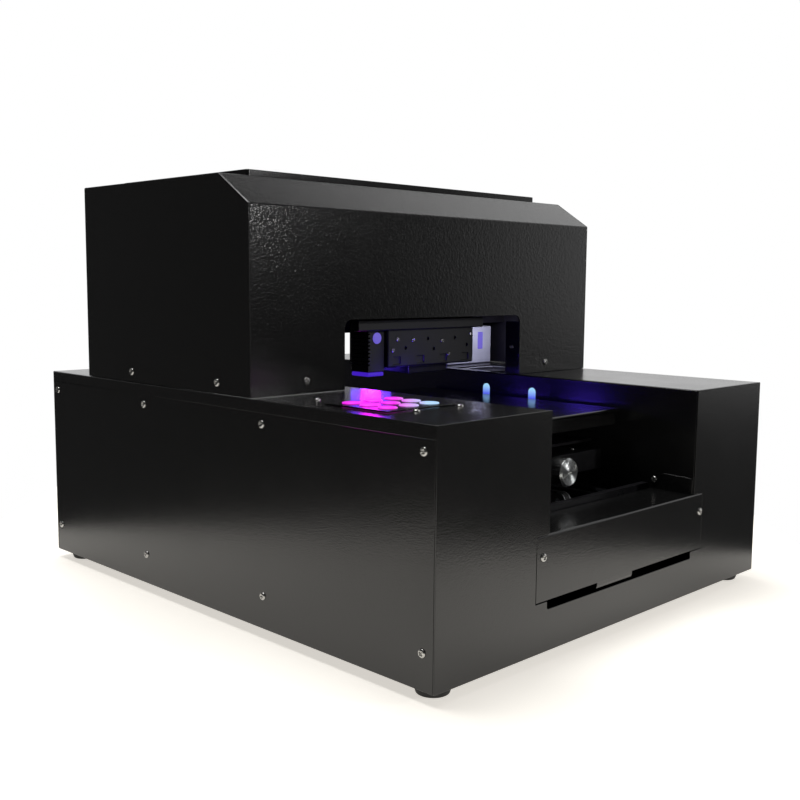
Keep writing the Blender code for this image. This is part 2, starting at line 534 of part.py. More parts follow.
clear_scene()
make_base()
make_front()
make_rear()
make_rails()
make_table()
make_hood()
make_gantry()
make_keypad()
make_electronics()
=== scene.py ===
# %% [markdown]
# # A desktop flatbed UV printer
# The machine prints on flat things. They lie on a table that slides through a low base, under a hood where a
# print head and an ultraviolet lamp run from side to side. The solid model comes first, as a fixed frame in
# metres, and each finished piece then takes the place of one of its plain solids.

# %% Load the frame
import math

import bmesh
import bpy
import numpy as np
from mathutils import Matrix, Vector


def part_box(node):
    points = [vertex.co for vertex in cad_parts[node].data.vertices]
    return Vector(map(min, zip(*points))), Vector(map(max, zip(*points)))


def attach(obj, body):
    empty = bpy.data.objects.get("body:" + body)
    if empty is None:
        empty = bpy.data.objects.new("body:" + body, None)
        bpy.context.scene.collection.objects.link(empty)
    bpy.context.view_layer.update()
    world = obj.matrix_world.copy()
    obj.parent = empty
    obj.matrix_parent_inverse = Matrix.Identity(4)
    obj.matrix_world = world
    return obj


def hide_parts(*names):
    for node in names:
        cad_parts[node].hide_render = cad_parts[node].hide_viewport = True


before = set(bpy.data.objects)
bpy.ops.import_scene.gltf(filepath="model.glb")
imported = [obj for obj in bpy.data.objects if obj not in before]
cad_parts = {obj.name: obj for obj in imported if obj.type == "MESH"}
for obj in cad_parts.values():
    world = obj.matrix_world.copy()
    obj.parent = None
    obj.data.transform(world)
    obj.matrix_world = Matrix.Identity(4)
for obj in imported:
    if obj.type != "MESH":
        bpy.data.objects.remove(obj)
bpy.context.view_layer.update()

MM = 0.001

# %% [markdown]
# ## The view
# A camera that stands level with the hood and looks along the machine's near corner shows both long faces. A
# lens of about 47 mm keeps the far sides from shrinking too much. The roll is the small tilt of a hand-held
# camera.

# %% Camera
YAW, PITCH, ROLL = map(math.radians, (44.893, -6.573, 0.461))
EYE = Vector((-0.8540, -0.8638, 0.3410))
forward = Vector((math.sin(YAW) * math.cos(PITCH), math.cos(YAW) * math.cos(PITCH), math.sin(PITCH)))
level = Vector((math.cos(YAW), -math.sin(YAW), 0))
raised = level.cross(forward)
right = level * math.cos(ROLL) + raised * math.sin(ROLL)
up = raised * math.cos(ROLL) - level * math.sin(ROLL)
lens = bpy.data.cameras.new("camera")
lens.sensor_width = 36
lens.lens = 46.63
camera = bpy.data.objects.new("camera", lens)
camera.matrix_world = Matrix((right, up, -forward)).transposed().to_4x4()
camera.matrix_world.translation = EYE
bpy.context.scene.collection.objects.link(camera)
bpy.context.scene.camera = camera
print("camera", round((EYE - Vector((0, 0, 0.2))).length, 3), "m from the machine's middle")

# %% [markdown]
# ## Colour and nodes
# Colours are easiest to write as sRGB hex values, but the renderer counts light linearly, so one function
# converts them. A second small function adds one node, sets its properties, and links or sets its inputs,
# which keeps each finish to a few readable lines.


# %% Colour and node helpers
def paint(hex_value):
    """sRGB hex to linear: below 0.04045 divide by 12.92, and above it ((c + 0.055) / 1.055) to the power
    2.4."""
    srgb = np.array([int(hex_value[i:i + 2], 16) for i in (1, 3, 5)]) / 255
    linear = np.where(srgb <= 0.04045, srgb / 12.92, ((srgb + 0.055) / 1.055) ** 2.4)
    return (*linear.tolist(), 1.0)


def add(tree, kind, inputs=None, **properties):
    """A node whose inputs are given by name or number, each as a value or as the socket that feeds it."""
    made = tree.nodes.new("ShaderNode" + kind)
    for name, value in properties.items():
        setattr(made, name, value)
    for name, value in (inputs or {}).items():
        if isinstance(value, bpy.types.NodeSocket):
            tree.links.new(value, made.inputs[name])
        else:
            made.inputs[name].default_value = value
    return made


def start_finish(name, **settings):
    """A material that holds one Principled shader, with the tree, the shader and the piece's own
    coordinates."""
    material = bpy.data.materials.new(name)
    material.use_nodes = True
    tree = material.node_tree
    tree.nodes.clear()
    shader = add(tree, "BsdfPrincipled", settings)
    add(tree, "OutputMaterial", {"Surface": shader.outputs[0]})
    return material, tree, shader, add(tree, "TexCoord").outputs["Object"]


def feed(tree, shader, tone, gloss, rise):
    """Links a finish's colour, its roughness and its relief, which is a Bump node, to its shader."""
    tree.links.new(tone, shader.inputs["Base Color"])
    tree.links.new(gloss, shader.inputs["Roughness"])
    tree.links.new(rise.outputs["Normal"], shader.inputs["Normal"])


def spread(tree, value, low, high):
    """A 0 to 1 pattern spread over another range."""
    return add(tree, "MapRange", {"Value": value, "To Min": low, "To Max": high}).outputs["Result"]


def blend_colours(tree, share, first, second):
    mixed = add(tree, "Mix", {0: share, 6: first, 7: second}, data_type="RGBA")
    return mixed.outputs[2]


print("white paint is", paint("#ffffff")[:3])

# %% [markdown]
# ## Floor, sky and lamps
# The room is a plain studio. The floor is a pale sheet. The sky is white to the camera, and for reflections
# it is bright only on the far side, as a white backdrop is, and dim elsewhere, as an unlit room is. Black
# paint is almost a mirror at a low angle, so what it reflects is most of what shows: the floor lights the
# lower half of each panel.

# %% Floor and world
FLOOR_ENDS = (-1.40, 1.60)
FLOOR_SIDES = (-0.56, 0.53)
FLOOR_GLOW = 0.62
ROOM_GLOW, WALL_GLOW = 0.06, 0.93
WALL_WAY = (0.866, 0.5, 0)
WALL_START = (0.32, 0.44)
WALL_FOOT = (-0.12, -0.04)
WALL_TOP = (0.665, 0.60)


def make_floor():
    """A strip of pale sheet just under the feet. A point at `along` and `across` is turned 45 degrees about
    Z."""
    along, across = FLOOR_ENDS, FLOOR_SIDES
    half = math.sqrt(0.5)
    corners = [(half * (u + v), half * (u - v), -0.2 * MM) for u, v in
               ((along[0], across[0]), (along[0], across[1]), (along[1], across[1]), (along[1], across[0]))]
    mesh = bpy.data.meshes.new("floor")
    mesh.from_pydata(corners, [], [(3, 2, 1, 0)])
    floor = bpy.data.objects.new("floor", mesh)
    bpy.context.scene.collection.objects.link(floor)
    material, tree, shader, where = start_finish("matt_paper_white", Roughness=0.85)
    fibre = add(tree, "TexNoise", {"Vector": where, "Scale": 900.0, "Detail": 2.0})
    tone = blend_colours(tree, fibre.outputs["Fac"], paint("#f6f2ea"), paint("#fbf8f1"))
    tree.links.new(tone, shader.inputs["Base Color"])
    shader.inputs["Emission Color"].default_value = paint("#fffaf2")
    shader.inputs["Emission Strength"].default_value = FLOOR_GLOW
    mesh.materials.append(material)


def make_sky():
    """White for the camera. For reflections, a dim room with one bright wall on the far side. The wall is
    every direction whose dot product with WALL_WAY is above WALL_START, and whose height Z lies between
    WALL_FOOT and WALL_TOP, which is from about 5 degrees below the horizon to 40 above it. Each edge is
    soft."""
    world = bpy.data.worlds.new("studio")
    bpy.context.scene.world = world
    world.use_nodes = True
    tree = world.node_tree
    tree.nodes.clear()
    way = add(tree, "TexCoord").outputs["Generated"]
    height = add(tree, "SeparateXYZ", {0: way}).outputs["Z"]
    towards = add(tree, "VectorMath", {0: way, 1: WALL_WAY}, operation="DOT_PRODUCT").outputs["Value"]

    def ramp(value, start, end):
        return add(tree, "MapRange", {"Value": value, "From Min": start, "From Max": end},
                   interpolation_type="SMOOTHSTEP").outputs["Result"]

    wall = add(tree, "Math", {0: ramp(towards, *WALL_START), 1: ramp(height, *WALL_FOOT)},
               operation="MULTIPLY")
    wall = add(tree, "Math", {0: wall.outputs[0], 1: ramp(height, *WALL_TOP)}, operation="MULTIPLY")
    backdrop = spread(tree, wall.outputs[0], ROOM_GLOW, WALL_GLOW)
    seen = add(tree, "LightPath").outputs["Is Camera Ray"]
    strength = add(tree, "Math", {0: backdrop, 1: seen}, operation="MAXIMUM").outputs[0]
    sky = add(tree, "Background", {"Color": paint("#ffffff"), "Strength": strength})
    add(tree, "OutputWorld", {"Surface": sky.outputs[0]})


def soft_lamp(name, place, aim, width, height, watts, colour=(1, 1, 1)):
    """A rectangular softbox that points at a spot."""
    data = bpy.data.lights.new(name, "AREA")
    data.shape, data.size, data.size_y = "RECTANGLE", width, height
    data.energy, data.color = watts, colour
    lamp = bpy.data.objects.new(name, data)
    lamp.matrix_world = (Vector(aim) - Vector(place)).to_track_quat("-Z", "Y").to_matrix().to_4x4()
    lamp.matrix_world.translation = Vector(place)
    bpy.context.scene.collection.objects.link(lamp)
    return lamp


make_floor()
make_sky()
soft_lamp("ceiling_softbox", (-0.15, 0.30, 2.4), (0, 0, 0), 1.3, 1.3, 42)
soft_lamp("front_spot", (1.02, -2.29, 0.84), (-0.2, 0, 0.35), 0.12, 0.12, 9)
bpy.context.scene.view_settings.view_transform = "Standard"

# %% [markdown]
# ## Shapes from formulas
# Every piece is a sheet of quads over a grid of points. Three kinds of grid make nearly all of this machine:
# an outline carried along an axis (folded sheet, bars, boxes), a profile turned about an axis (feet, knobs,
# shafts), and a height map on a disc (screw heads). A shape is a pair, its points and its faces, so shapes
# are easily joined.


# %% Outlines
def rounded(corners, radii, steps=6):
    """Each corner of a closed outline becomes an arc. Its centre is r / sin(a) along the corner's bisector,
    where a is half the corner's angle, and the two ends of the arc are swept into each other by spherical
    interpolation."""
    corner = np.asarray(corners, float)
    radius = np.broadcast_to(np.asarray(radii, float), len(corner))[:, None]
    back, ahead = np.roll(corner, 1, 0) - corner, np.roll(corner, -1, 0) - corner
    back /= np.linalg.norm(back, axis=1, keepdims=True)
    ahead /= np.linalg.norm(ahead, axis=1, keepdims=True)
    half = 0.5 * np.arccos(np.clip((back * ahead).sum(1, keepdims=True), -1, 1))
    middle = back + ahead
    middle /= np.maximum(np.linalg.norm(middle, axis=1, keepdims=True), 1e-9)
    centre = corner + middle * radius / np.sin(half)
    first = (corner + back * radius / np.tan(half) - centre)[:, None]
    last = (corner + ahead * radius / np.tan(half) - centre)[:, None]
    sweep = np.maximum(math.pi - 2 * half, 1e-6)[:, None]
    share = np.linspace(0, 1, steps)[None, :, None]
    arc = (np.sin((1 - share) * sweep) * first + np.sin(share * sweep) * last) / np.sin(sweep)
    return (centre[:, None] + arc).reshape(-1, 2)


def folded(path, thick, bend, left=True):
    """The closed outline of a folded sheet: the path is its outer face, and the inner face lies `thick` to
    the left or right of it, with each corner moved along the sum of its two normals over 1 + their dot
    product."""
    path = np.asarray(path, float)
    run = np.diff(path, axis=0)
    run /= np.linalg.norm(run, axis=1, keepdims=True)
    normal = np.column_stack([-run[:, 1], run[:, 0]]) * (1 if left else -1)
    before, after = np.vstack([normal[:1], normal]), np.vstack([normal, normal[-1:]])
    inner = path + thick * (before + after) / (1 + (before * after).sum(1, keepdims=True))
    turn = np.sign(run[:-1, 0] * run[1:, 1] - run[:-1, 1] * run[1:, 0]) * (1 if left else -1)
    small = 0.2 * thick
    outer_bend = np.where(turn > 0, bend, max(bend - thick, small))
    inner_bend = np.where(turn > 0, max(bend - thick, small), bend)
    radii = [small, *outer_bend, small, small, *inner_bend[::-1], small]
    return rounded(np.vstack([path, inner[::-1]]), radii)


def rectangle(low, high, radius, steps=6):
    (x0, y0), (x1, y1) = low, high
    return rounded([(x0, y0), (x1, y0), (x1, y1), (x0, y1)], radius, steps)


print("a rounded square has", len(rectangle((0, 0), (1, 1), 0.1)), "points")

# %% [markdown]
# ## Solids from outlines and profiles
# A folded sheet has the same section all along its length, and a turned part the same profile all the way
# round. So one function carries an outline along an axis, with its ends drawn in by a quarter circle, and
# another turns a profile about an axis. A plain extrusion would leave knife edges at its ends, and no real
# sheet has them.


# %% Solids from outlines and profiles
def quads(rows, columns, wrap_rows=False, wrap_columns=True):
    """The faces of a grid of points, numbered row by row."""
    row, column = np.meshgrid(np.arange(rows - (not wrap_rows)), np.arange(columns - (not wrap_columns)),
                              indexing="ij")
    below, beside = (row + 1) % rows, (column + 1) % columns
    return np.stack([row * columns + column, row * columns + beside, below * columns + beside,
                     below * columns + column], -1).reshape(-1, 4)


def carried(outline, axis, start, end, soft=0.3 * MM, steps=4):
    """An outline carried from start to end. Over the last `soft` at each end a quarter circle draws it in
    along its own normals: at angle t it lies soft (1 - sin t) from the end and is drawn in by soft (1 - cos
    t)."""
    outline = np.asarray(outline, float)
    outline = outline[np.linalg.norm(outline - np.roll(outline, 1, 0), axis=1) > 1e-7]
    x, y = outline.T
    if (x * np.roll(y, -1) - np.roll(x, -1) * y).sum() < 0:
        outline = outline[::-1]
    run = np.roll(outline, -1, 0) - np.roll(outline, 1, 0)
    inward = np.column_stack([-run[:, 1], run[:, 0]]) / np.linalg.norm(run, axis=1, keepdims=True)
    turn = np.linspace(0, math.pi / 2, steps)
    reach = soft * (1 - np.sin(turn))
    drawn = soft * (1 - np.cos(turn))
    place = np.concatenate([start + reach[::-1], end - reach])
    inset = np.concatenate([drawn[::-1], drawn])
    flat = outline[None] + inset[:, None, None] * inward[None]
    points = np.insert(flat, "XYZ".index(axis), place[:, None], axis=2).reshape(-1, 3)
    count = len(outline)
    faces = quads(len(place), count).tolist()
    last = (len(place) - 1) * count
    return points, faces + [list(range(count))[::-1], list(range(last, last + count))]


def turned(corners, axis, centre, radii=0.0, sides=48, steps=4, ring=False):
    """(distance, radius) corners with rounded bends, turned about an axis: the point at turn t is the centre
    plus distance along the axis and radius (cos t, sin t) across it. A ring's profile closes on itself."""
    line = rounded(corners, radii, steps)
    turn = np.linspace(0, 2 * math.pi, sides, endpoint=False)
    distance, radius = line[:, 0, None], line[:, 1, None]
    rows = [radius * np.cos(turn), radius * np.sin(turn)]
    rows.insert("XYZ".index(axis), np.broadcast_to(distance, rows[0].shape))
    points = np.stack(rows, -1).reshape(-1, 3) + np.asarray(centre, float)
    return points, quads(len(line), sides, wrap_rows=ring).tolist()


def brick(low, high, radius=0.6 * MM, axis="Z"):
    """A box with every edge rounded by the same radius."""
    low, high = np.asarray(low, float), np.asarray(high, float)
    along = "XYZ".index(axis)
    across = [index for index in range(3) if index != along]
    outline = rectangle(low[across], high[across], radius)
    return carried(outline, axis, low[along], high[along], radius)


def together(*shapes):
    points, faces, count = [], [], 0
    for some_points, some_faces in shapes:
        points.append(some_points)
        faces += [[index + count for index in face] for face in some_faces]
        count += len(some_points)
    return np.vstack(points), faces


def moved(shape, turn=None, shift=(0, 0, 0)):
    """The shape's points times a 3 x 3 turn, plus a shift."""
    points = shape[0] if turn is None else shape[0] @ np.asarray(turn).T
    return points + np.asarray(shift, float), shape[1]


print("a 10 mm brick has", len(brick((0, 0, 0), (10 * MM,) * 3)[1]), "faces")

# %% [markdown]
# ## Pieces
# Every part of the machine is made the same way: join the shapes, cut the openings, give it its finish, and
# let it ride on the body that carries it. Openings are cut with an exact Boolean after the shape is made, as
# they are punched or milled in the real sheet. Weighted normals keep the flats flat beside their small
# rounded edges.


# %% Pieces
def solid_mesh(name, *shapes):
    """One mesh of the joined shapes, with doubled points merged and its faces turned outwards: the sum of
    the signed volumes under its faces is made positive."""
    points, faces = together(*shapes)
    mesh = bpy.data.meshes.new(name)
    mesh.from_pydata(points.tolist(), [], faces)
    bm = bmesh.new()
    bm.from_mesh(mesh)
    bmesh.ops.remove_doubles(bm, verts=bm.verts, dist=2e-6)
    bmesh.ops.recalc_face_normals(bm, faces=bm.faces)
    if bm.calc_volume(signed=True) < 0:
        bmesh.ops.reverse_faces(bm, faces=bm.faces)
    bm.to_mesh(mesh)
    bm.free()
    return mesh


def cut_mesh(thing, tool, name):
    """The thing's mesh with the tool's volume taken out."""
    cutter = bpy.data.objects.new(name, solid_mesh(name, tool))
    bpy.context.scene.collection.objects.link(cutter)
    change = thing.modifiers.new(name, "BOOLEAN")
    change.operation, change.solver, change.object = "DIFFERENCE", "EXACT", cutter
    ready = thing.evaluated_get(bpy.context.evaluated_depsgraph_get())
    result = bpy.data.meshes.new_from_object(ready)
    thing.modifiers.remove(change)
    bpy.data.objects.remove(cutter)
    return result


def piece(name, body, finish, *shapes, stands_for=(), takes=None, cuts=(), crisp=38):
    """Joins the shapes into one mesh, cuts it, coats it, and lets it ride on its body."""
    thing = bpy.data.objects.new(name, solid_mesh(name, *shapes))
    bpy.context.scene.collection.objects.link(thing)
    for number, tool in enumerate(cuts):
        thing.data = cut_mesh(thing, tool, f"{name}_cut_{number}")
    thing.data.materials.clear()
    thing.data.materials.append(finish)
    thing.data.shade_smooth()
    thing.data.set_sharp_from_angle(angle=math.radians(crisp))
    weigh = thing.modifiers.new("even_flats", "WEIGHTED_NORMAL")
    weigh.keep_sharp = True
    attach(thing, body)
    if stands_for:
        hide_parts(*stands_for)
    made.append((name, len(thing.data.polygons)))
    return thing


def recoat(names, finish):
    """Gives CAD solids that keep their own shape a finish."""
    for name in names:
        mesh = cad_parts[name].data
        mesh.materials.clear()
        mesh.materials.append(finish)


made = []
print("a piece's edges stay sharp above 38 degrees")

# %% [markdown]
# ## Black powder coat
# All the outer panels are folded steel, sprayed with black powder and baked at about 200 degrees. The powder
# melts into a thick, slightly wavy film, like orange peel, and its filler leaves a grain 1 to 2 mm across
# that sparkles where a lamp is mirrored. Two noises make the film's height, and a broad one makes the gloss
# a little uneven, as handled paint is. There are three powders: a textured one on the hood's wrap and seams,
# with coarser and deeper grain, a plain one on the other panels, and a smooth one on the table. Worn paint
# is left out, because the machine is new.

# %% Powder coat
def powder_coat(name, colour, grain=1.6, depth=0.085, gloss=(0.17, 0.24)):
    """Dielectric paint, IOR 1.5. Grain size and film depth are in mm."""
    material, tree, shader, where = start_finish(name, **{"IOR": 1.5})
    film = add(tree, "TexNoise",
               {"Vector": where, "Scale": 1 / (grain * MM), "Detail": 2.5, "Roughness": 0.6})
    peel = add(tree, "TexNoise", {"Vector": where, "Scale": 1 / (5.5 * MM), "Detail": 1.0})
    smear = add(tree, "TexNoise", {"Vector": where, "Scale": 1 / (70 * MM), "Detail": 3.0, "Roughness": 0.55})
    peak = spread(tree, film.outputs["Fac"], -0.6, 1.6)
    tone = blend_colours(tree, peak, paint("#0a0a0a"), paint(colour))
    polish = spread(tree, smear.outputs["Fac"], *gloss)
    wave = add(tree, "Bump", {"Strength": 0.5, "Distance": 0.05 * MM, "Height": peel.outputs["Fac"]})
    rise = add(tree, "Bump", {"Strength": 1.0, "Distance": depth * MM, "Height": film.outputs["Fac"],
                              "Normal": wave.outputs["Normal"]})
    feed(tree, shader, tone, polish, rise)
    return material


COAT = powder_coat("powder_coat_black", "#171717")
COAT_GRAINY = powder_coat("powder_coat_textured", "#171717", 2.2, 0.26, (0.13, 0.19))
COAT_SMOOTH = powder_coat("powder_coat_smooth", "#0f0f10", 0.5, 0.006, (0.14, 0.20))
print([coat.name for coat in (COAT, COAT_GRAINY, COAT_SMOOTH)], len(COAT.node_tree.nodes), "nodes each")

# %% [markdown]
# ## Metals
# Shafts are ground, so they carry fine scratches along the wheel's path. The knob was faced on a lathe, and
# its tool left rings a fraction of a millimetre apart, which spread a highlight into two bright wedges.
# Screws are nickel plated. Frames inside are blackened steel, dull and a little brown. A metal's own colour
# tints its reflection.

# %% Metals
def blackened_steel(name):
    material, tree, shader, where = start_finish(name, Metallic=0.55)
    cloud = add(tree, "TexNoise", {"Vector": where, "Scale": 1 / (9 * MM), "Detail": 4.0, "Roughness": 0.6})
    grit = add(tree, "TexNoise", {"Vector": where, "Scale": 1 / (0.6 * MM), "Detail": 2.0})
    tone = blend_colours(tree, cloud.outputs["Fac"], paint("#17161a"), paint("#2a292c"))
    polish = spread(tree, cloud.outputs["Fac"], 0.30, 0.48)
    rise = add(tree, "Bump", {"Strength": 0.6, "Distance": 0.02 * MM, "Height": grit.outputs["Fac"]})
    feed(tree, shader, tone, polish, rise)
    return material


def scratched_metal(name, colour, stretch, gloss=(0.16, 0.32), depth=0.006):
    """Bare metal with scratches: noise squeezed across the scratch and stretched along it."""
    material, tree, shader, where = start_finish(name, Metallic=1.0)
    pulled = add(tree, "Mapping", {"Vector": where, "Scale": stretch}).outputs["Vector"]
    lines = add(tree, "TexNoise",
                {"Vector": pulled, "Scale": 1 / (0.35 * MM), "Detail": 3.0, "Roughness": 0.7})
    tone = blend_colours(tree, spread(tree, lines.outputs["Fac"], -0.2, 1.2), paint("#8f9194"), paint(colour))
    polish = spread(tree, lines.outputs["Fac"], *gloss)
    rise = add(tree, "Bump", {"Strength": 0.8, "Distance": depth * MM, "Height": lines.outputs["Fac"]})
    feed(tree, shader, tone, polish, rise)
    return material


def faced_aluminium(name, axis_spot, pitch=0.42):
    """Lathe rings about the Y axis through a spot: a sine of the distance from it, one wave for each turn of
    feed."""
    material, tree, shader, where = start_finish(name, Metallic=1.0)
    spot = add(tree, "Mapping",
               {"Vector": where, "Location": (-axis_spot[0], 0, -axis_spot[2])}).outputs["Vector"]
    rings = add(tree, "TexWave", {"Vector": spot, "Scale": 2 * math.pi / (20 * pitch * MM), "Distortion": 0.6,
                                  "Detail": 1.0, "Detail Scale": 0.3}, wave_type="RINGS", rings_direction="Y")
    patch = add(tree, "TexNoise", {"Vector": where, "Scale": 1 / (4 * MM), "Detail": 2.0})
    tone = blend_colours(tree, rings.outputs["Fac"], paint("#b9bcbd"), paint("#e4e6e5"))
    polish = spread(tree, patch.outputs["Fac"], 0.14, 0.26)
    rise = add(tree, "Bump", {"Strength": 1.0, "Distance": 0.06 * MM, "Height": rings.outputs["Fac"]})
    feed(tree, shader, tone, polish, rise)
    return material


OXIDE = blackened_steel("blackened_steel")
NICKEL = scratched_metal("nickel_plated_steel", "#c9c6bf", (1, 1, 1), (0.16, 0.30))
GROUND_Y = scratched_metal("ground_steel_along_y", "#b7babd", (1, 0.03, 1), (0.10, 0.22))
GROUND_X = scratched_metal("ground_steel_along_x", "#b7babd", (0.03, 1, 1), (0.10, 0.22))
MILLED = scratched_metal("milled_aluminium", "#c4c7c9", (1, 1, 0.12), (0.26, 0.42))
knob_low, knob_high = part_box("height_knob")
KNOB_MIDDLE = (np.array(knob_low) + np.array(knob_high)) / 2
FACED = faced_aluminium("lathe_faced_aluminium", KNOB_MIDDLE)
print("knob axis at x %.4f, z %.4f" % (KNOB_MIDDLE[0], KNOB_MIDDLE[2]))

# %% [markdown]
# ## Plastics and rubber
# Injection moulds are spark-eroded, which leaves a fine matt grain on ABS. Feet are moulded rubber: dull,
# slightly grey, with dust in the pores. Belts are neoprene with a smoother back. All are dielectrics, so
# their colour is in the base and their highlights stay white.

# %% Plastics and rubber
def moulded(name, dark, light, grain, gloss, depth=0.02, ior=1.5):
    """Grain in mm. The colour wanders a little between dark and light, as filler does."""
    material, tree, shader, where = start_finish(name, **{"IOR": ior})
    pores = add(tree, "TexNoise",
                {"Vector": where, "Scale": 1 / (grain * MM), "Detail": 3.0, "Roughness": 0.65})
    cloud = add(tree, "TexNoise", {"Vector": where, "Scale": 1 / (14 * MM), "Detail": 2.0})
    tone = blend_colours(tree, cloud.outputs["Fac"], paint(dark), paint(light))
    polish = spread(tree, pores.outputs["Fac"], *gloss)
    rise = add(tree, "Bump", {"Strength": 0.9, "Distance": depth * MM, "Height": pores.outputs["Fac"]})
    feed(tree, shader, tone, polish, rise)
    return material


ABS_BLACK = moulded("abs_black", "#101012", "#18181b", 0.35, (0.38, 0.52))
ABS_GREY = moulded("abs_light_grey", "#a9acb2", "#bcbfc4", 0.35, (0.34, 0.50))
RUBBER = moulded("moulded_rubber", "#0d0d0d", "#1b1a19", 0.5, (0.62, 0.80), 0.05, 1.52)
NEOPRENE = moulded("neoprene_belt", "#0e0e0f", "#161617", 0.25, (0.5, 0.66), 0.03)
SILICONE = moulded("silicone_seal", "#26262b", "#34343a", 0.3, (0.45, 0.6), 0.02, 1.41)
FILM = moulded("polycarbonate_film", "#050506", "#09090b", 0.22, (0.17, 0.27), 0.006, 1.58)
print("plastics:", [m.name for m in bpy.data.materials if m.name.startswith("abs")])

# %% [markdown]
# ## Lights in the machine
# The lamp beside the print head hardens the ink with near-ultraviolet light. Most of it can't be seen, and
# what can is violet, which a camera records as magenta where it is strong. The two table sensors are lit from
# behind, pale blue, through frosted plastic. The keys are no lamps: their pale blue glow is painted lamp light,
# and the pinker glow of the keys nearest the lamp is painted violet light from the lamp. Emission on the shader
# makes the piece itself bright, and soft lamps carry the light onward.

# %% Light-giving finishes
def glowing_plastic(name, colour, power, edge_colour=None, along=None, reach=(0, 1)):
    """Frosted plastic that glows by emission; on the keys this glow is painted lamp light. Its colour can
    turn into a second one along a direction, between two distances in metres."""
    material, tree, shader, where = start_finish(name, **{"Roughness": 0.3, "IOR": 1.5})
    shader.inputs["Base Color"].default_value = paint("#2c3038")
    frost = add(tree, "TexNoise", {"Vector": where, "Scale": 1 / (0.8 * MM), "Detail": 2.0})
    strength = spread(tree, frost.outputs["Fac"], power * 0.75, power * 1.25)
    tree.links.new(strength, shader.inputs["Emission Strength"])
    shader.inputs["Emission Color"].default_value = paint(colour)
    if edge_colour:
        far = add(tree, "VectorMath", {0: where, 1: along}, operation="DOT_PRODUCT").outputs["Value"]
        share = add(tree, "MapRange",
                    {"Value": far, "From Min": reach[0], "From Max": reach[1]}).outputs["Result"]
        tree.links.new(blend_colours(tree, share, paint(colour), paint(edge_colour)),
                       shader.inputs["Emission Color"])
    return material


# Painted lamp light: no lamp is in the keys; their pale blue glow, turning magenta towards the lamp, stands for
# the lamp's light on them.
KEY_PAINTED_LAMP_GLOW = glowing_plastic("silicone_key_painted_lamp_glow", "#b4dcff", 0.95, "#ff1cf6", (-0.70, 0.71, 0), (-0.032, -0.002))
WINDOW_GLOW = glowing_plastic("sensor_window_lit", "#a6dcff", 0.9, "#3a22f0", (0, 0, -1), (-0.2120, -0.2000))
LED_GLOW = glowing_plastic("uv_led_window", "#5a2cff", 0.5)
CLEAR = glowing_plastic("lens_violet", "#8a78ff", 0.55)
print("lit finishes:", [m.name for m in (KEY_PAINTED_LAMP_GLOW, WINDOW_GLOW, LED_GLOW)])

# %% [markdown]
# ## Deck covers and side panels
# The base is five folded sheets, 1.5 mm thick. Each deck cover starts as a short lip outside, bends flat for
# the deck and bends down again as the channel's wall. One outline carried along Y gives it, with the bends
# as arcs of the sheet's own bend radius, because that small arc is what catches a bright line along every
# edge. The keypad's window, the cap's opening and the two sensor slots are cut afterwards.

# %% Base sheets
SHEET = 1.5 * MM
BEND = 1.9 * MM
HEAD = 1.9 * MM  # a screw head's height, which a panel's box includes
(front_left, FRONT, base_foot), (front_right, front_back, DECK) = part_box("front_panel")
(left_out, deck_front, wall_foot), (left_in, deck_rear, _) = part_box("left_deck_cover")
(right_in, _, _), (right_out, _, _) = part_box("right_deck_cover")
left_in, right_in = left_in - HEAD, right_in + HEAD
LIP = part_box("left_side_panel")[1][2] + 0.3 * MM


def sensor_slot(y, spare):
    """An upright slot with round ends, through the channel's right wall."""
    low, high = (y - 5.5 * MM - spare, 0.1900 - spare), (y + 5.5 * MM + spare, 0.2145 + spare)
    return rectangle(low, high, 5.4 * MM, 9)


SENSOR_PLACES = (-0.099, -0.0275)
left_path = [(left_out, LIP), (left_out, DECK), (left_in, DECK), (left_in, wall_foot)]
right_path = [(right_out, LIP), (right_out, DECK), (right_in, DECK), (right_in, wall_foot)]
keypad_hole = brick((-0.244, -0.236, 0.2), (-0.161, -0.160, 0.25), 1 * MM)
cap_hole = brick((0.146, -0.030, 0.2), (0.222, 0.040, 0.25), 1 * MM)
slots = [carried(sensor_slot(y, 0.3 * MM), "X", right_in - 0.003, right_in + 0.003) for y in SENSOR_PLACES]
piece("left_deck", "chassis", COAT,
      carried(folded(left_path, SHEET, BEND, False), "Y", deck_front, deck_rear),
      stands_for=["left_deck_cover"], takes="powder_coat", cuts=[keypad_hole])
piece("right_deck", "chassis", COAT, carried(folded(right_path, SHEET, BEND), "Y", deck_front, deck_rear),
      stands_for=["right_deck_cover"], takes="powder_coat", cuts=[cap_hole, *slots])
for side in ("left", "right"):
    low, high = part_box(side + "_side_panel")
    near, far = max(low[0], left_out), min(high[0], right_out)
    sheet = carried(rectangle(low[1:], high[1:], 0.8 * MM), "X", near, far, 0.4 * MM)
    piece(side + "_panel", "chassis", COAT, sheet, stands_for=[side + "_side_panel"], takes="powder_coat")
print("deck top at z", round(DECK, 4), "and lip at", round(LIP, 4))

# %% [markdown]
# ## Front sheet and access cover
# The front is one flat sheet whose stepped cut-out and slot are part of its outline, as a laser cuts them.
# The access cover hangs in the cut-out: a plate that bends back into a shelf, with an upright flange at each
# end of the shelf and a tongue that hooks into the slot under it. The cover is folded from one outline, and
# the flanges and the tongue are small outlines of their own.

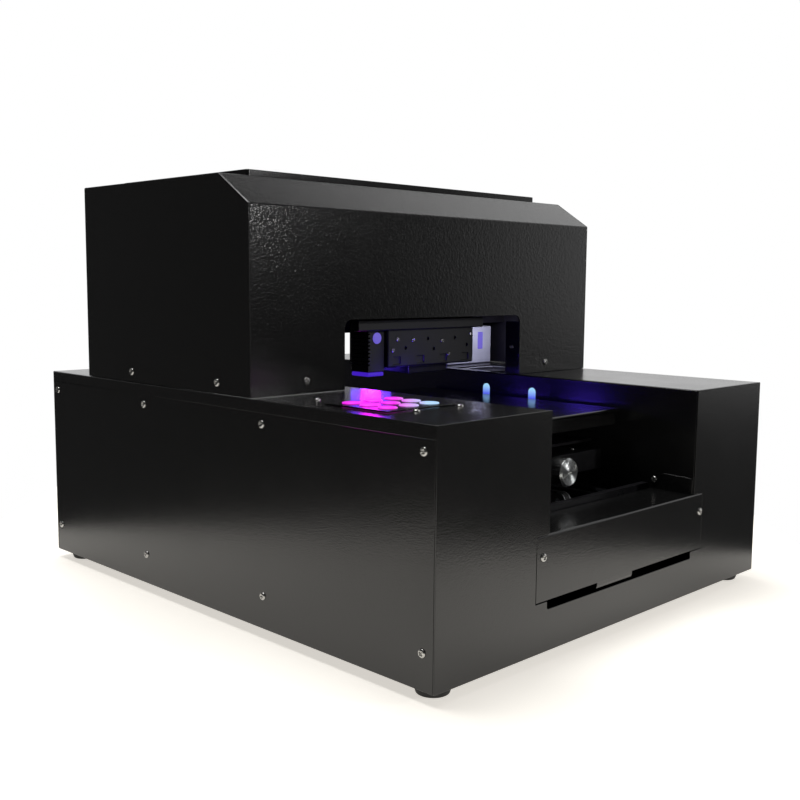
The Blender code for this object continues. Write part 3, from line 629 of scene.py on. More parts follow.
# %% Front sheet and access cover
(cover_left, _, _), (cover_right, shelf_rear, flange_top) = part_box("access_cover")
SILL = 0.1177
front_line = [(front_left, base_foot), (front_right, base_foot), (front_right, DECK), (0.1310, DECK),
              (0.1310, 0.1180), (0.1480, 0.1180), (0.1480, 0.0565), (0.1270, 0.0565), (0.1270, 0.0490),
              (-0.1230, 0.0490), (-0.1230, 0.0565), (-0.1400, 0.0565), (-0.1400, 0.1180), (-0.1215, 0.1180),
              (-0.1215, DECK), (front_left, DECK)]
front_bends = np.array([1.2, 1.2, 1.2, 1.0, 0.5, 0.5, 0.5, 0.4, 2.2, 2.2, 0.4, 0.5, 0.5, 0.5, 1.0, 1.2]) * MM
piece("front_sheet", "chassis", COAT,
      carried(rounded(front_line, front_bends), "Y", FRONT, front_back, 0.4 * MM),
      stands_for=["front_panel"], takes="powder_coat")
cover_path = [(FRONT, 0.0575), (FRONT, SILL), (shelf_rear, SILL)]
flange_rear = FRONT + 0.038
beside_shelf = [brick((x, FRONT + SHEET + 0.2 * MM, 0.10), (x + 0.02, shelf_rear + 0.01, 0.13), 0.2 * MM)
                for x in (-0.141, 0.1302)]
flange = rounded([(FRONT + 0.002, 0.1165), (flange_rear, 0.1165), (flange_rear, flange_top),
                  (FRONT + 0.002, 0.1350)], [0.2 * MM, 0.2 * MM, 2 * MM, 3 * MM])
tongue_path = [(FRONT + 1.1 * MM, 0.0518), (FRONT + 0.2 * MM, 0.0545), (FRONT + 0.05 * MM, 0.0589)]
piece("cover_sheet", "chassis", COAT,
      carried(folded(cover_path, SHEET, BEND, False), "X", cover_left, cover_right),
      stands_for=["access_cover"], takes="powder_coat", cuts=beside_shelf)
piece("cover_folds", "chassis", COAT, carried(flange, "X", -0.1210, -0.1195),
      carried(flange, "X", 0.1287, 0.1302),
      carried(folded(tongue_path, 1.1 * MM, 4 * MM, False), "X", -0.045, 0.015), takes="powder_coat")
print("cover is %.0f mm wide" % (1000 * (cover_right - cover_left)))

# %% [markdown]
# ## Hood
# One sheet wraps over the hood: front, slope, top and back. Two flat cheeks close its ends, and a thin weld
# bead runs along each seam, because a bead catches light where a plain gap would be a dark line. The mouths
# are cut after folding, with round upper corners.

# %% Hood
(hood_left, HOOD_FRONT, hood_foot), (hood_right, HOOD_REAR, HOOD_TOP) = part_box("hood_shell")
hood_left, hood_right = hood_left + HEAD, hood_right - HEAD
HOOD_FRONT, HOOD_REAR = HOOD_FRONT + HEAD, HOOD_REAR - HEAD
SHOULDER, SLOPE_END = 0.4115, HOOD_FRONT + 0.0476
MOUTH_FOOT, MOUTH_LEFT, MOUTH_RIGHT, MOUTH_TOP = 0.15, -0.149, 0.1345, 0.301
REAR_MOUTH_RIGHT, REAR_MOUTH_TOP = 0.1550, 0.267
RETURN_FACE = MOUTH_RIGHT + 0.1 * MM
hood_path = [(HOOD_FRONT, hood_foot), (HOOD_FRONT, SHOULDER), (SLOPE_END, HOOD_TOP), (HOOD_REAR, HOOD_TOP),
             (HOOD_REAR, hood_foot)]
cheek = rounded(hood_path, np.array([0.8, 2.0, 2.0, 2.0, 0.8]) * MM)
wrap = carried(folded(hood_path, SHEET, 2.0 * MM, False), "X", hood_left + 1.75 * MM, hood_right - 1.75 * MM,
               0.25 * MM)
corner = np.array([0.5, 0.5, 9.0, 9.0]) * MM
front_mouth = carried(rectangle((MOUTH_LEFT, MOUTH_FOOT), (MOUTH_RIGHT, MOUTH_TOP), corner, 9), "Y",
                      HOOD_FRONT - 0.01, HOOD_FRONT + 0.01)
rear_mouth = carried(rectangle((MOUTH_LEFT, MOUTH_FOOT), (REAR_MOUTH_RIGHT, REAR_MOUTH_TOP), corner, 9), "Y",
                     HOOD_REAR - 0.01, HOOD_REAR + 0.01)
lid_hole = brick((-0.200, -0.005, HOOD_TOP - 0.01), (0.190, 0.190, HOOD_TOP + 0.01), 3 * MM)
piece("hood_wrap", "chassis", COAT_GRAINY, wrap, stands_for=["hood_shell"], takes="powder_coat",
      cuts=[front_mouth, rear_mouth, lid_hole])
piece("hood_left_cheek", "chassis", COAT, carried(cheek, "X", hood_left, hood_left + SHEET, 0.5 * MM),
      takes="powder_coat")
piece("hood_right_cheek", "chassis", COAT, carried(cheek, "X", hood_right - SHEET, hood_right, 0.5 * MM),
      takes="powder_coat")
bead = 1.0 * MM


def weld_bead(x, start, end):
    """A bead along the seam between two (y, z) points, set in by its own radius."""
    start, end = np.array(start), np.array(end)
    run = end - start
    length = float(np.linalg.norm(run))
    line = [(0, 0), (0, bead), (length, bead), (length, 0)]
    tilt = np.array(Matrix.Rotation(-math.atan2(run[0], run[1]), 3, "X"))
    return moved(turned(line, "Z", (0, 0, 0), np.array([0, 0.6, 0.6, 0]) * MM, 16), tilt, (x, *start))


seam = [(HOOD_FRONT + bead, hood_foot), (HOOD_FRONT + bead, SHOULDER - 0.3 * MM),
        (SLOPE_END + 0.3 * MM, HOOD_TOP - bead), (HOOD_REAR - bead, HOOD_TOP - bead),
        (HOOD_REAR - bead, hood_foot)]
beads = [weld_bead(x, start, end) for x in (hood_left + bead, hood_right - bead)
         for start, end in zip(seam, seam[1:])]
piece("hood_seams", "chassis", COAT_GRAINY, *beads, takes="powder_coat", crisp=60)
return_fold = rectangle((HOOD_FRONT + 1.6 * MM, hood_foot), (HOOD_FRONT + 22 * MM, 0.2930), 1.5 * MM)
piece("mouth_return", "chassis", COAT, carried(return_fold, "X", RETURN_FACE, RETURN_FACE + 1.3 * MM),
      takes="powder_coat")
print("hood wraps", round(1000 * (hood_right - hood_left)), "mm of width")

# %% [markdown]
# ## Lid
# The lid is a shallow folded tray on two knuckles. The knuckles are tubes about the hinge's pin, so they
# stay round it when the lid turns, and a small tab joins each one to the tray. The tray is a rounded plate
# hollowed from below, which gives its thin rim without four separate folds.

# %% Lid
(lid_left, lid_front, _), (lid_right, _, lid_top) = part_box("hood_lid")
PIN_Y, PIN_Z = 0.2165, 0.4465
LID_FOOT, LID_CEILING = 0.4423, 0.4475
HINGE_PLACES = (-0.150, 0.150)
lid_rear = PIN_Y - 0.0046
lid_tray = carried(rectangle((lid_left, lid_front), (lid_right, lid_rear), 3 * MM), "Z", LID_FOOT, lid_top,
                   0.7 * MM)
lid_hollow = brick((lid_left + 1.5 * MM, lid_front + 1.5 * MM, 0.43),
                   (lid_right - 1.5 * MM, lid_rear - 1.5 * MM, LID_CEILING))
knuckle = [(-12 * MM, 1.6 * MM), (-12 * MM, 2.5 * MM), (12 * MM, 2.5 * MM), (12 * MM, 1.6 * MM)]
knuckles = [turned(knuckle, "X", (x, PIN_Y, PIN_Z), 0.2 * MM, 32, ring=True) for x in HINGE_PLACES]
tabs = [brick((x - 0.0115, PIN_Y - 0.0070, PIN_Z - 0.0009), (x + 0.0115, PIN_Y - 0.0019, PIN_Z + 0.0022),
              0.3 * MM) for x in HINGE_PLACES]
piece("lid_tray", "lid", COAT, lid_tray, stands_for=["hood_lid"], takes="powder_coat", cuts=[lid_hollow])
piece("lid_knuckles", "lid", COAT, *knuckles, *tabs, takes="powder_coat")
print("lid", [round(1000 * v) for v in (lid_right - lid_left, lid_rear - lid_front)], "mm")

# %% [markdown]
# ## Screws
# The panels are held by M4 pan heads with a cross recess, 8 mm across. One head is a height map on a disc: a
# flat dome that falls away at the rim, less a cross that is deepest at its middle. The same head is copied
# to each hole, turned by a different angle, because nobody lines their screws up.


# %% Screw heads
def cross_head(radius=4.0 * MM, height=1.9 * MM, sides=40):
    """height (0.82 + 0.18 (1 - q^2)) sqrt(1 - q^5) with q = r / radius, less 1.25 mm inside two smooth-edged
    bars."""
    q = np.array([0, 0.08, 0.14, 0.2, 0.27, 0.36, 0.44, 0.5, 0.56, 0.66, 0.78, 0.88, 0.94, 0.98,
                  1.0])[:, None]
    turn = np.linspace(0, 2 * math.pi, sides, endpoint=False)[None]
    x, y = q * radius * np.cos(turn), q * radius * np.sin(turn)

    def bar(across, along):
        return 1 / (1 + np.exp((np.abs(across) - 0.5 * MM) / (0.07 * MM))
                    + np.exp((np.abs(along) - 0.5 * radius) / (0.10 * MM)))

    dome = height * (0.82 + 0.18 * (1 - q ** 2)) * np.sqrt(np.maximum(1 - q ** 5, 0))
    lift = dome - np.minimum(1.25 * MM, 0.66 * height) * np.maximum(bar(x, y), bar(y, x))
    points = np.stack([x, y, lift], -1).reshape(-1, 3)
    return points, quads(len(q), sides).tolist() + [list(range(sides))]


def facing(axis, way, spin):
    """The turn that takes +Z to an axis, after a spin about +Z."""
    target = Vector([way if letter == axis else 0 for letter in "XYZ"])
    aimed = target.to_track_quat("Z", "Y" if axis != "Y" else "X").to_matrix()
    return np.array(aimed @ Matrix.Rotation(spin, 3, "Z"))


def screws(axis, way, face, places, head):
    """Heads on a face across an axis. Each place gives the other two coordinates. Spins step by 137.5
    degrees."""
    shapes = []
    for number, spot in enumerate(places):
        centre = list(spot)
        centre.insert("XYZ".index(axis), face)
        shapes.append(moved(head, facing(axis, way, 2.4 * (number + 1)), centre))
    return shapes


side_places = [(y, z) for z in (0.042, 0.207) for y in (-0.305, -0.095, 0.112, 0.306)]
cheek_places = [(-0.0226, 0.2405), (0.1364, 0.2405)]
hood_places = [(-0.200, 0.2415), (0.186, 0.2415)]
cover_places = [(-0.130, 0.098), (0.143, 0.098)]
rear_places = [(-0.252, 0.205), (-0.140, 0.205), (0.150, 0.205), (0.252, 0.205), (-0.252, 0.030),
               (0.252, 0.030)]
deck_places = [(-0.227, -0.124), (-0.217, -0.2445), (-0.161, -0.2445)]
rear_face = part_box("rear_panel")[1][1] - HEAD
head, small_head = cross_head(), cross_head(3.5 * MM, 1.9 * MM)
panel_screws = [
    *screws("X", -1, left_out, side_places, head), *screws("X", 1, right_out, side_places, head),
    *screws("X", -1, hood_left, cheek_places, head), *screws("X", 1, hood_right, cheek_places, head),
    *screws("Y", -1, HOOD_FRONT, hood_places, head), *screws("Y", 1, HOOD_REAR, hood_places, head),
    *screws("Y", -1, FRONT, cover_places, head), *screws("Y", 1, rear_face, rear_places, head),
    *screws("Z", 1, DECK, deck_places, small_head),
    *screws("X", -1, right_in, [(-0.270, 0.1276)], small_head),
    *screws("X", 1, left_in, [(-0.270, 0.1276)], small_head),
    *screws("X", -1, RETURN_FACE, [(-0.0640, 0.2620)], cross_head(2.8 * MM, 1.4 * MM))]
piece("panel_screws", "chassis", NICKEL, *panel_screws, takes="steel", crisp=55)
print(len(panel_screws), "screws")

# %% [markdown]
# ## Feet
# Each foot is a moulded rubber cone, screwed up through its middle. Its profile is turned about Z: a hollow
# where the screw sits, a flat ring that stands on the bench, a rounded edge and a flared side.

# %% Feet
foot_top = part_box("foot_front_left")[1][2]
foot_line = [(0.0060, 0), (0.0060, 0.0045), (0, 0.0062), (0, 0.0143), (foot_top, 0.0175), (foot_top, 0)]
foot_bends = np.array([0, 0.3, 0.9, 1.6, 0.8, 0]) * MM
for node in ("foot_front_left", "foot_front_right", "foot_rear_left", "foot_rear_right"):
    low, high = map(np.array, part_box(node))
    centre = (*((low + high)[:2] / 2), 0)
    piece(node.replace("foot", "rubber_foot"), "chassis", RUBBER, turned(foot_line, "Z", centre, foot_bends),
          stands_for=[node], takes="rubber")
print("feet stand at z 0 and reach", round(1000 * foot_top, 1), "mm")

# %% [markdown]
# ## Keypad
# A thin polycarbonate film covers the left deck's window. Nine round silicone keys reach through it, and
# their glow is painted lamp light. Each key is a turned profile: a rounded rim with a shallow dish for a
# fingertip.

# %% Keypad
film_low, film_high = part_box("keypad_plate")
key_nodes = sorted(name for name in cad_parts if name.startswith("key_"))
key_centres = {name: tuple((np.array(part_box(name)[0]) + np.array(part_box(name)[1])) / 2) for name in key_nodes}
key_low, key_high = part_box("key_1")
key_tall, key_radius = key_high[2] - key_low[2], (key_high[0] - key_low[0]) / 2
hole_radius = key_radius + 0.3 * MM
hole_line = [(-0.01, 0), (-0.01, hole_radius), (0.01, hole_radius), (0.01, 0)]
holes = together(*[turned(hole_line, "Z", (x, y, film_high[2]), sides=40) for x, y, _ in key_centres.values()])
film = carried(rectangle(film_low[:2], film_high[:2], 3 * MM), "Z", film_low[2], film_high[2], 0.3 * MM)
piece("keypad_film", "chassis", FILM, film, stands_for=["keypad_plate"], takes="black_plastic", cuts=[holes])
key_line = [(0, 0), (0, key_radius), (key_tall - 0.1 * MM, key_radius), (key_tall, key_radius - 1.4 * MM),
            (key_tall - 0.35 * MM, key_radius - 3.2 * MM), (key_tall - 0.4 * MM, 0)]
key_bends = np.array([0, 0.2, 0.9, 0.5, 1.0, 0]) * MM
for name, (x, y, _) in key_centres.items():
    # Each key's glow is painted lamp light.
    piece("painted_glow_" + name, name, KEY_PAINTED_LAMP_GLOW, turned(key_line, "Z", (x, y, key_low[2]), key_bends, 40),
          stands_for=[name], takes="key_plastic")
print(len(key_centres), "keys,", round(2000 * key_radius), "mm across")

# %% [markdown]
# ## The table's height knob and bracket
# The knob is turned aluminium with a faced end, a chamfer and a fluted grip. The grip's 30 flutes are a
# cosine taken off the radius. Behind it a folded steel bracket carries its shaft.

# %% Knob and bracket
knob_centre = (KNOB_MIDDLE[0], -0.2180, KNOB_MIDDLE[2])
knob_line = [(-0.0325, 0), (-0.0325, 0.0016), (-0.0340, 0.0026), (-0.0340, 0.0128), (-0.0320, 0.0150),
             (-0.0145, 0.0150), (-0.0130, 0.0136), (-0.0130, 0.0080), (-0.0045, 0.0080), (-0.0045, 0)]
knob_bends = np.array([0, 0.3, 0.2, 0.25, 0.3, 0.3, 0.4, 0.5, 0.3, 0]) * MM
knob_points, knob_faces = turned(knob_line, "Y", knob_centre, knob_bends, 180, 5)
offset = knob_points - np.array(knob_centre)
reach, angle = np.hypot(offset[:, 0], offset[:, 2]), np.arctan2(offset[:, 2], offset[:, 0])
grip = np.clip((reach - 0.0143) / 0.0006, 0, 1) * np.clip((offset[:, 1] + 0.0315) / 0.001, 0, 1)
shrink = 1 - grip * 0.45 * MM * (0.5 + 0.5 * np.cos(30 * angle)) / np.maximum(reach, 1e-6)
knob_points[:, [0, 2]] = np.array(knob_centre)[[0, 2]] + offset[:, [0, 2]] * shrink[:, None]
piece("knob_turning", "height_knob", FACED, (knob_points, knob_faces), stands_for=["height_knob"],
      takes="aluminium", crisp=30)
recoat(["knob_shaft", "y_rail_left", "y_rail_right"], GROUND_Y)
recoat(["lift_screw", "lift_nut", "lid_hinge"], MILLED)
bracket_line = folded([(-0.2220, 0.1380), (-0.2220, 0.1600), (-0.1850, 0.1600), (-0.1850, 0.1652)], SHEET,
                      1.8 * MM, False)
shaft_hole = turned([(-0.01, 0), (-0.01, 0.0045), (0.01, 0.0045), (0.01, 0)], "Y",
                    (knob_centre[0], -0.221, knob_centre[2]))
piece("bracket_fold", "table", OXIDE, carried(bracket_line, "X", -0.090, 0.098), stands_for=["knob_bracket"],
      takes="dark_steel", cuts=[shaft_hole])
bracket_heads = screws("Z", 1, 0.1600, [(-0.060, -0.204), (0.068, -0.204)], cross_head(3 * MM, 1.6 * MM))
piece("bracket_screws", "table", NICKEL, *bracket_heads, takes="steel", crisp=55)
print("knob is", round(2000 * 0.015), "mm across")

# %% [markdown]
# ## Table
# The platen is a black-coated plate with rounded edges, on a frame of the same black. Its front edge carries
# two bright lines, one on each rounded corner, which is all that shows of it in the dark bay.

# %% Table
platen_low, platen_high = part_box("platen")
lift_low, lift_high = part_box("lift_frame")
piece("platen_plate", "platen", COAT_SMOOTH, brick(platen_low, platen_high, 1.5 * MM), stands_for=["platen"],
      takes="dark_steel")
hollow = brick((lift_low[0] + 2 * MM, lift_low[1] + 2 * MM, 0.18),
               (lift_high[0] - 2 * MM, lift_high[1] - 2 * MM, 0.195))
piece("lift_tray", "platen", COAT_SMOOTH, brick(lift_low, lift_high, 1.2 * MM), stands_for=["lift_frame"],
      takes="dark_steel", cuts=[hollow])
recoat(["carriage_frame", "rail_bed", "x_beam"], OXIDE)
recoat(["bearing_left", "bearing_right"], MILLED)
print("platen", [round(1000 * (b - a)) for a, b in zip(platen_low, platen_high)], "mm")

# %% [markdown]
# ## Motors
# Two small stepping motors move the table and the print carriage. A stepping motor is a stack of thin steel
# plates between two cast end caps, with cut-off corners. The plates are separate thin solids here, because
# their edges are what tells such a motor from a plain block.


# %% Motors
def stepper(name, axis, low, high, boss_at, boss_side, shaft_reach):
    """End caps and a stack of plates with 3 mm corners, then a boss and a shaft on the side that faces its
    pulley."""
    low, high = np.array(low), np.array(high)
    along = "XYZ".index(axis)
    across = [index for index in range(3) if index != along]
    outline = rectangle(low[across], high[across], 3.2 * MM, 2)
    inner = rectangle(low[across] + 0.5 * MM, high[across] - 0.5 * MM, 3.4 * MM, 2)
    start, end = low[along], high[along]
    third = (end - start) * 0.24
    caps = [carried(outline, axis, start, start + third), carried(outline, axis, end - third, end)]
    plates = start + third + 0.5 * MM * np.arange(int((end - start - 2 * third) / (0.5 * MM)))
    stack = [carried(inner, axis, plate, plate + 0.42 * MM, 0.1 * MM, 2) for plate in plates]
    core = carried(rectangle(low[across] + 1 * MM, high[across] - 1 * MM, 3 * MM, 2), axis,
                   start + 1 * MM, end - 1 * MM)
    piece(name, "chassis", OXIDE, *caps, core, stands_for=[name], takes="dark_steel")
    piece(name + "_plates", "chassis", MILLED, *stack, takes="steel")
    face = start if boss_side < 0 else end
    line = [(0, 0), (0, 0.0108), (0.0018, 0.0108), (0.0018, 0.0024), (shaft_reach, 0.0024), (shaft_reach, 0)]
    flipped = [(face + boss_side * distance, radius) for distance, radius in line]
    spot = list(boss_at)
    spot[along] = 0
    piece(name + "_boss", "chassis", MILLED, turned(flipped, axis, spot, 0.25 * MM, 32), takes="steel")


x_shaft = np.array(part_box("x_drive_pulley")).mean(axis=0)
y_shaft = np.array(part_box("y_drive_pulley")).mean(axis=0)
stepper("x_motor", "Y", (0.214, 0.030, 0.319), (0.256, 0.0546, 0.361), x_shaft, -1, 0.0148)
stepper("y_motor", "X", (0.013, 0.241, 0.097), (0.053, 0.283, 0.139), y_shaft, -1, 0.0178)
print("motor pieces:", [name for name, _ in made if "motor" in name])

# %% [markdown]
# ## Belts and pulleys
# Each motor drives a loop of toothed belt, with a tooth every 2 mm on its inside, round two grooved pulleys.
# The belt is one band whose inner side is a formula of the distance along it, so its teeth follow it round
# the half circles. A pulley is a turned ring whose middle dips once for each tooth, as a cutter leaves it.


# %% Belts and pulleys
def belt(name, axis, low, high, pitch=2 * MM):
    """A loop of two straights and two half circles. Outside it is smooth. Inside it the band, 0.62 mm thick,
    swells by 0.48 mm for a tooth, once for each pitch: by max(0, cos(2 pi s / pitch)) ^ 0.5 along the loop's
    length s."""
    low, high = np.array(low), np.array(high)
    along = "XYZ".index(axis)
    across = [index for index in range(3) if index != along]
    start, end = low[across], high[across]
    radius = (end[1] - start[1]) / 2
    straight = end[0] - start[0] - 2 * radius
    length = 2 * straight + 2 * math.pi * radius
    count = int(round(length / pitch)) * 6
    s = np.arange(count) * length / count
    middle = start[1] + radius
    turn = (np.clip((s - straight) / radius, 0, math.pi),
            np.clip((s - 2 * straight) / radius - math.pi, 0, math.pi))
    bend, first, last = math.pi * radius, start[0] + radius, end[0] - radius
    stretch = [s < straight, s < straight + bend, s < 2 * straight + bend]
    x = np.select(stretch, [first + s, last + radius * np.sin(turn[0]), last - (s - straight - bend)],
                  first - radius * np.sin(turn[1]))
    y = np.select(stretch, [middle - radius, middle - radius * np.cos(turn[0]), middle + radius],
                  middle + radius * np.cos(turn[1]))
    outer = np.stack([x, y], -1)
    run = np.roll(outer, -1, 0) - np.roll(outer, 1, 0)
    inward = np.column_stack([-run[:, 1], run[:, 0]]) / np.linalg.norm(run, axis=1, keepdims=True)
    wave = np.cos(2 * math.pi * s / (length / round(length / pitch)))
    tooth = 0.62 * MM + 0.48 * MM * np.sqrt(np.maximum(0, wave))
    inner = outer + inward * tooth[:, None]
    sides = [(outer, low[along]), (outer, high[along]), (inner, high[along]), (inner, low[along])]
    points = np.concatenate([np.insert(flat, along, level, axis=1) for flat, level in sides])
    piece(name, "chassis", NEOPRENE, (points, quads(4, count, wrap_rows=True).tolist()), stands_for=[name],
          takes="rubber")


def toothed_wheel(name, body, axis):
    """Two thin flanges and a grooved middle, all round a bore: one ring whose middle radius dips 32 times a
    turn."""
    low, high = map(np.array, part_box(body))
    centre = (low + high) / 2
    along = "XYZ".index(axis)
    half, rim = (high[along] - low[along]) / 2, (high - low)[(along + 1) % 3] / 2
    rest = rim - 1.5 * MM
    line = [(-half, 2.9 * MM), (-half, rim), (-half + 1.3 * MM, rim), (-half + 1.3 * MM, rest),
            (half - 1.3 * MM, rest), (half - 1.3 * MM, rim), (half, rim), (half, 2.9 * MM)]
    points, faces = turned(line, axis, centre, 0.15 * MM, 192, 2, ring=True)
    out = points - centre
    across = [index for index in range(3) if index != along]
    reach, angle = np.hypot(*out[:, across].T), np.arctan2(*out[:, across].T)
    groove = (np.abs(reach - rest) < 0.3 * MM) * 0.5 * MM * np.clip(2 * np.cos(32 * angle), 0, 1)
    points[:, across] = centre[across] + out[:, across] * (1 - groove / reach)[:, None]
    piece(name, body, MILLED, (points, faces), stands_for=[body], takes="aluminium", crisp=30)


belt("x_belt", "Y", *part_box("x_belt"))
belt("y_belt", "X", *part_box("y_belt"))
for body in ("x_drive_pulley", "x_idler_pulley"):
    toothed_wheel(body + "_wheel", body, "Y")
for body in ("y_drive_pulley", "y_idler_pulley"):
    toothed_wheel(body + "_wheel", body, "X")
recoat(["x_rail"], GROUND_X)

# %% [markdown]
# ## Print carriage
# The carriage is a moulded black block that hangs from the shaft. A ribbed brow runs across its front, over
# a row of screws, and a round violet lens shows that the lamp is on. Under it the head's steel plate holds
# three rows of nozzles. The pockets and the sunk holes are cut after the block is made, as slides in the mould
# leave them.

# %% Print carriage
CAR_FRONT = -0.0450
pockets = [brick((x, CAR_FRONT - 0.01, 0.2480), (x + 0.0125, CAR_FRONT + 1.6 * MM, 0.2570), 1.2 * MM)
           for x in (-0.050, -0.012, 0.026, 0.064)]
sinks = [turned([(-0.01, 0), (-0.01, 0.0022), (2.2 * MM, 0.0022), (2.2 * MM, 0)], "Y", (x, CAR_FRONT, z),
                sides=24)
         for x, z in ((-0.030, 0.2660), (0.006, 0.2755), (0.016, 0.2635), (0.052, 0.2750), (0.073, 0.2660))]
notch = brick((-0.060, 0.018, 0.24), (-0.030, 0.050, 0.32), 1 * MM)
rail_bore = turned([(-0.1, 0), (-0.1, 0.0063), (0.1, 0.0063), (0.1, 0)], "X", (0, 0.025, 0.303), sides=48)
clamp = brick((0.001, 0.0125, 0.3150), (0.019, 0.0275, 0.3295), 0.6 * MM)
block = brick((-0.0575, CAR_FRONT, 0.2450), (0.0850, 0.0450, 0.3180), 2.0 * MM, "X")
piece("carriage_block", "print_carriage", ABS_BLACK, block, stands_for=["head_carriage"],
      takes="black_plastic", cuts=[*pockets, *sinks, notch, rail_bore])
brow_line = rectangle((-0.0518, 0.2867), (-0.0440, 0.2988), 1.5 * MM)
piece("carriage_brow", "print_carriage", ABS_BLACK, carried(brow_line, "X", -0.1078, 0.0948, 0.8 * MM), clamp,
      takes="black_plastic")
head_cap = cross_head(2.6 * MM, 1.3 * MM, 32)
front_spots = [(-0.043, 0.2760), (-0.018, 0.2745), (0.030, 0.2720), (0.041, 0.2560), (0.080, 0.2790),
               (-0.050, 0.2640)]
piece("carriage_screws", "print_carriage", NICKEL, *screws("Y", -1, CAR_FRONT, front_spots, head_cap),
      takes="steel", crisp=55)
nozzle_low, nozzle_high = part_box("print_head")
rows = [brick((nozzle_low[0] + 6 * MM, y, 0.23),
              (nozzle_high[0] - 6 * MM, y + 1.2 * MM, nozzle_low[2] + 0.4 * MM), 0.1 * MM)
        for y in (-0.0120, -0.0040, 0.0060)]
piece("nozzle_plate", "print_carriage", OXIDE, brick(nozzle_low, nozzle_high, 1.0 * MM),
      stands_for=["print_head"], takes="steel", cuts=rows)
print("carriage screws:", len(front_spots))

# %% [markdown]
# ## Ultraviolet lamp
# A real lamp of this kind is an aluminium heat sink in a black case, with a row of LEDs behind a glass
# window underneath. The fins are slots cut in the case's left side. The window is a separate piece that
# glows, so it can ride on the carriage with its own finish, and the round lens on the front is a small
# turned disc.

# %% Ultraviolet lamp
lamp_low, lamp_high = map(np.array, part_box("uv_lamp"))
fins = [brick((lamp_low[0] - 1 * MM, lamp_low[1] - 1 * MM, z),
              (lamp_low[0] + 3 * MM, lamp_high[1] + 1 * MM, z + 1.8 * MM), 0.2 * MM)
        for z in np.arange(lamp_low[2] + 0.012, lamp_high[2] - 0.004, 0.0042)]
skirt = lamp_low[2] + 4.5 * MM
housing = brick((*lamp_low[:2], skirt), lamp_high, 1.2 * MM)
piece("lamp_housing", "print_carriage", ABS_BLACK, housing, stands_for=["uv_lamp"], takes="lamp_housing",
      cuts=fins)
window = brick(lamp_low + (0.6 * MM, 0.6 * MM, 0),
               (lamp_high[0] - 0.6 * MM, lamp_high[1] - 0.6 * MM, skirt - 0.2 * MM), 1.2 * MM)
piece("led_window", "print_carriage", LED_GLOW, window, takes="light_window")
lens_line = [(0, 0), (0, 0.0062), (0.0009, 0.0062), (0.0014, 0.0048), (0.0016, 0)]
lens_line = [(-distance, radius) for distance, radius in lens_line]
piece("lens_disc", "print_carriage", CLEAR,
      turned(lens_line, "Y", (-0.0700, lamp_low[1], 0.2780), 0.3 * MM, 40), takes="light_window")
print("lamp housing", [round(1000 * v, 1) for v in lamp_high - lamp_low], "mm")

# %% [markdown]
# ## Light from the lamp
# The lamp's own window is small and faces down, so soft lamps ride on the carriage and carry its light
# onward: one down on the table, one sideways and one backward along the channel, and one up on the
# carriage's front. A magenta one, with a blue one at each edge, is mirrored in the left deck as the glare
# there. A weak white one on the chassis lights the pump under the hood's right end, as light from the back
# would.

# %% Riding lights
VIOLET, MAGENTA, BLUE, PALE = (0.10, 0.040, 1.0), (0.80, 0.015, 1.0), (0.16, 0.05, 1.0), (0.78, 0.76, 1.0)
carriage_lights = {  # the place, the spot it points at, its width, depth, watts and colour
    "lamp_downward": ((-0.070, -0.030, 0.2345), (-0.070, -0.030, 0.10), 0.018, 0.020, 0.12, VIOLET),
    "lamp_sideways": ((-0.045, -0.056, 0.2370), (0.131, -0.050, 0.205), 0.04, 0.008, 0.06, VIOLET),
    "lamp_spill": ((-0.0880, -0.0500, 0.2500), (-0.165, -0.150, 0.2450), 0.020, 0.026, 0.022, MAGENTA),
    "spill_edge_left": ((-0.1005, -0.0402, 0.2500), (-0.1775, -0.140, 0.2450), 0.011, 0.026, 0.004, BLUE),
    "spill_edge_right": ((-0.0755, -0.0598, 0.2500), (-0.1525, -0.160, 0.2450), 0.011, 0.026, 0.004, BLUE),
    "lamp_upward": ((-0.040, -0.085, 0.2340), (0.010, -0.045, 0.2750), 0.060, 0.008, 0.02, VIOLET),
    "lamp_backward": ((-0.060, 0.052, 0.2350), (0.131, 0.190, 0.20), 0.03, 0.010, 0.10, VIOLET)}
for name, spot in carriage_lights.items():
    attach(soft_lamp(name, *spot), "print_carriage")
hood_lamp = soft_lamp("hood_light", (0.190, 0.000, 0.300), (0.210, 0.066, 0.252), 0.03, 0.02, 0.10, PALE)
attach(hood_lamp, "chassis")
print("riding lights:", [*carriage_lights, hood_lamp.name])

# %% [markdown]
# ## Capping station and suction pump
# At its right end the carriage parks on a silicone cap, which keeps the nozzles wet, and a small pump draws
# ink through them. Both are light grey mouldings, with rounded edges and a few ribs.

# %% Capping station and pump
station_low, station_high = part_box("service_station")
well = brick((0.149, -0.027, 0.200), (0.219, 0.037, 0.24), 1.5 * MM)
vents = [brick((station_low[0] - 1 * MM, y, 0.160), (station_low[0] + 2 * MM, y + 0.006, 0.192), 0.5 * MM)
         for y in np.arange(-0.048, 0.046, 0.012)]
piece("station_tub", "chassis", ABS_GREY, brick(station_low, station_high, 1.5 * MM),
      stands_for=["service_station"], takes="grey_plastic", cuts=[well, *vents])
cap_well = brick((0.159, -0.017, 0.2240), (0.209, 0.027, 0.24), 1.5 * MM)
piece("cap_tray", "cap", ABS_GREY, brick((0.152, -0.024, 0.2010), (0.216, 0.034, 0.2230), 1.5 * MM),
      stands_for=["cap_sled"], takes="grey_plastic")
piece("cap_seal", "cap", SILICONE, brick((0.156, -0.020, 0.2220), (0.212, 0.030, 0.2280), 1.8 * MM),
      takes="rubber", cuts=[cap_well])
pump_low, pump_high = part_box("suction_pump")
pump_face = 0.066
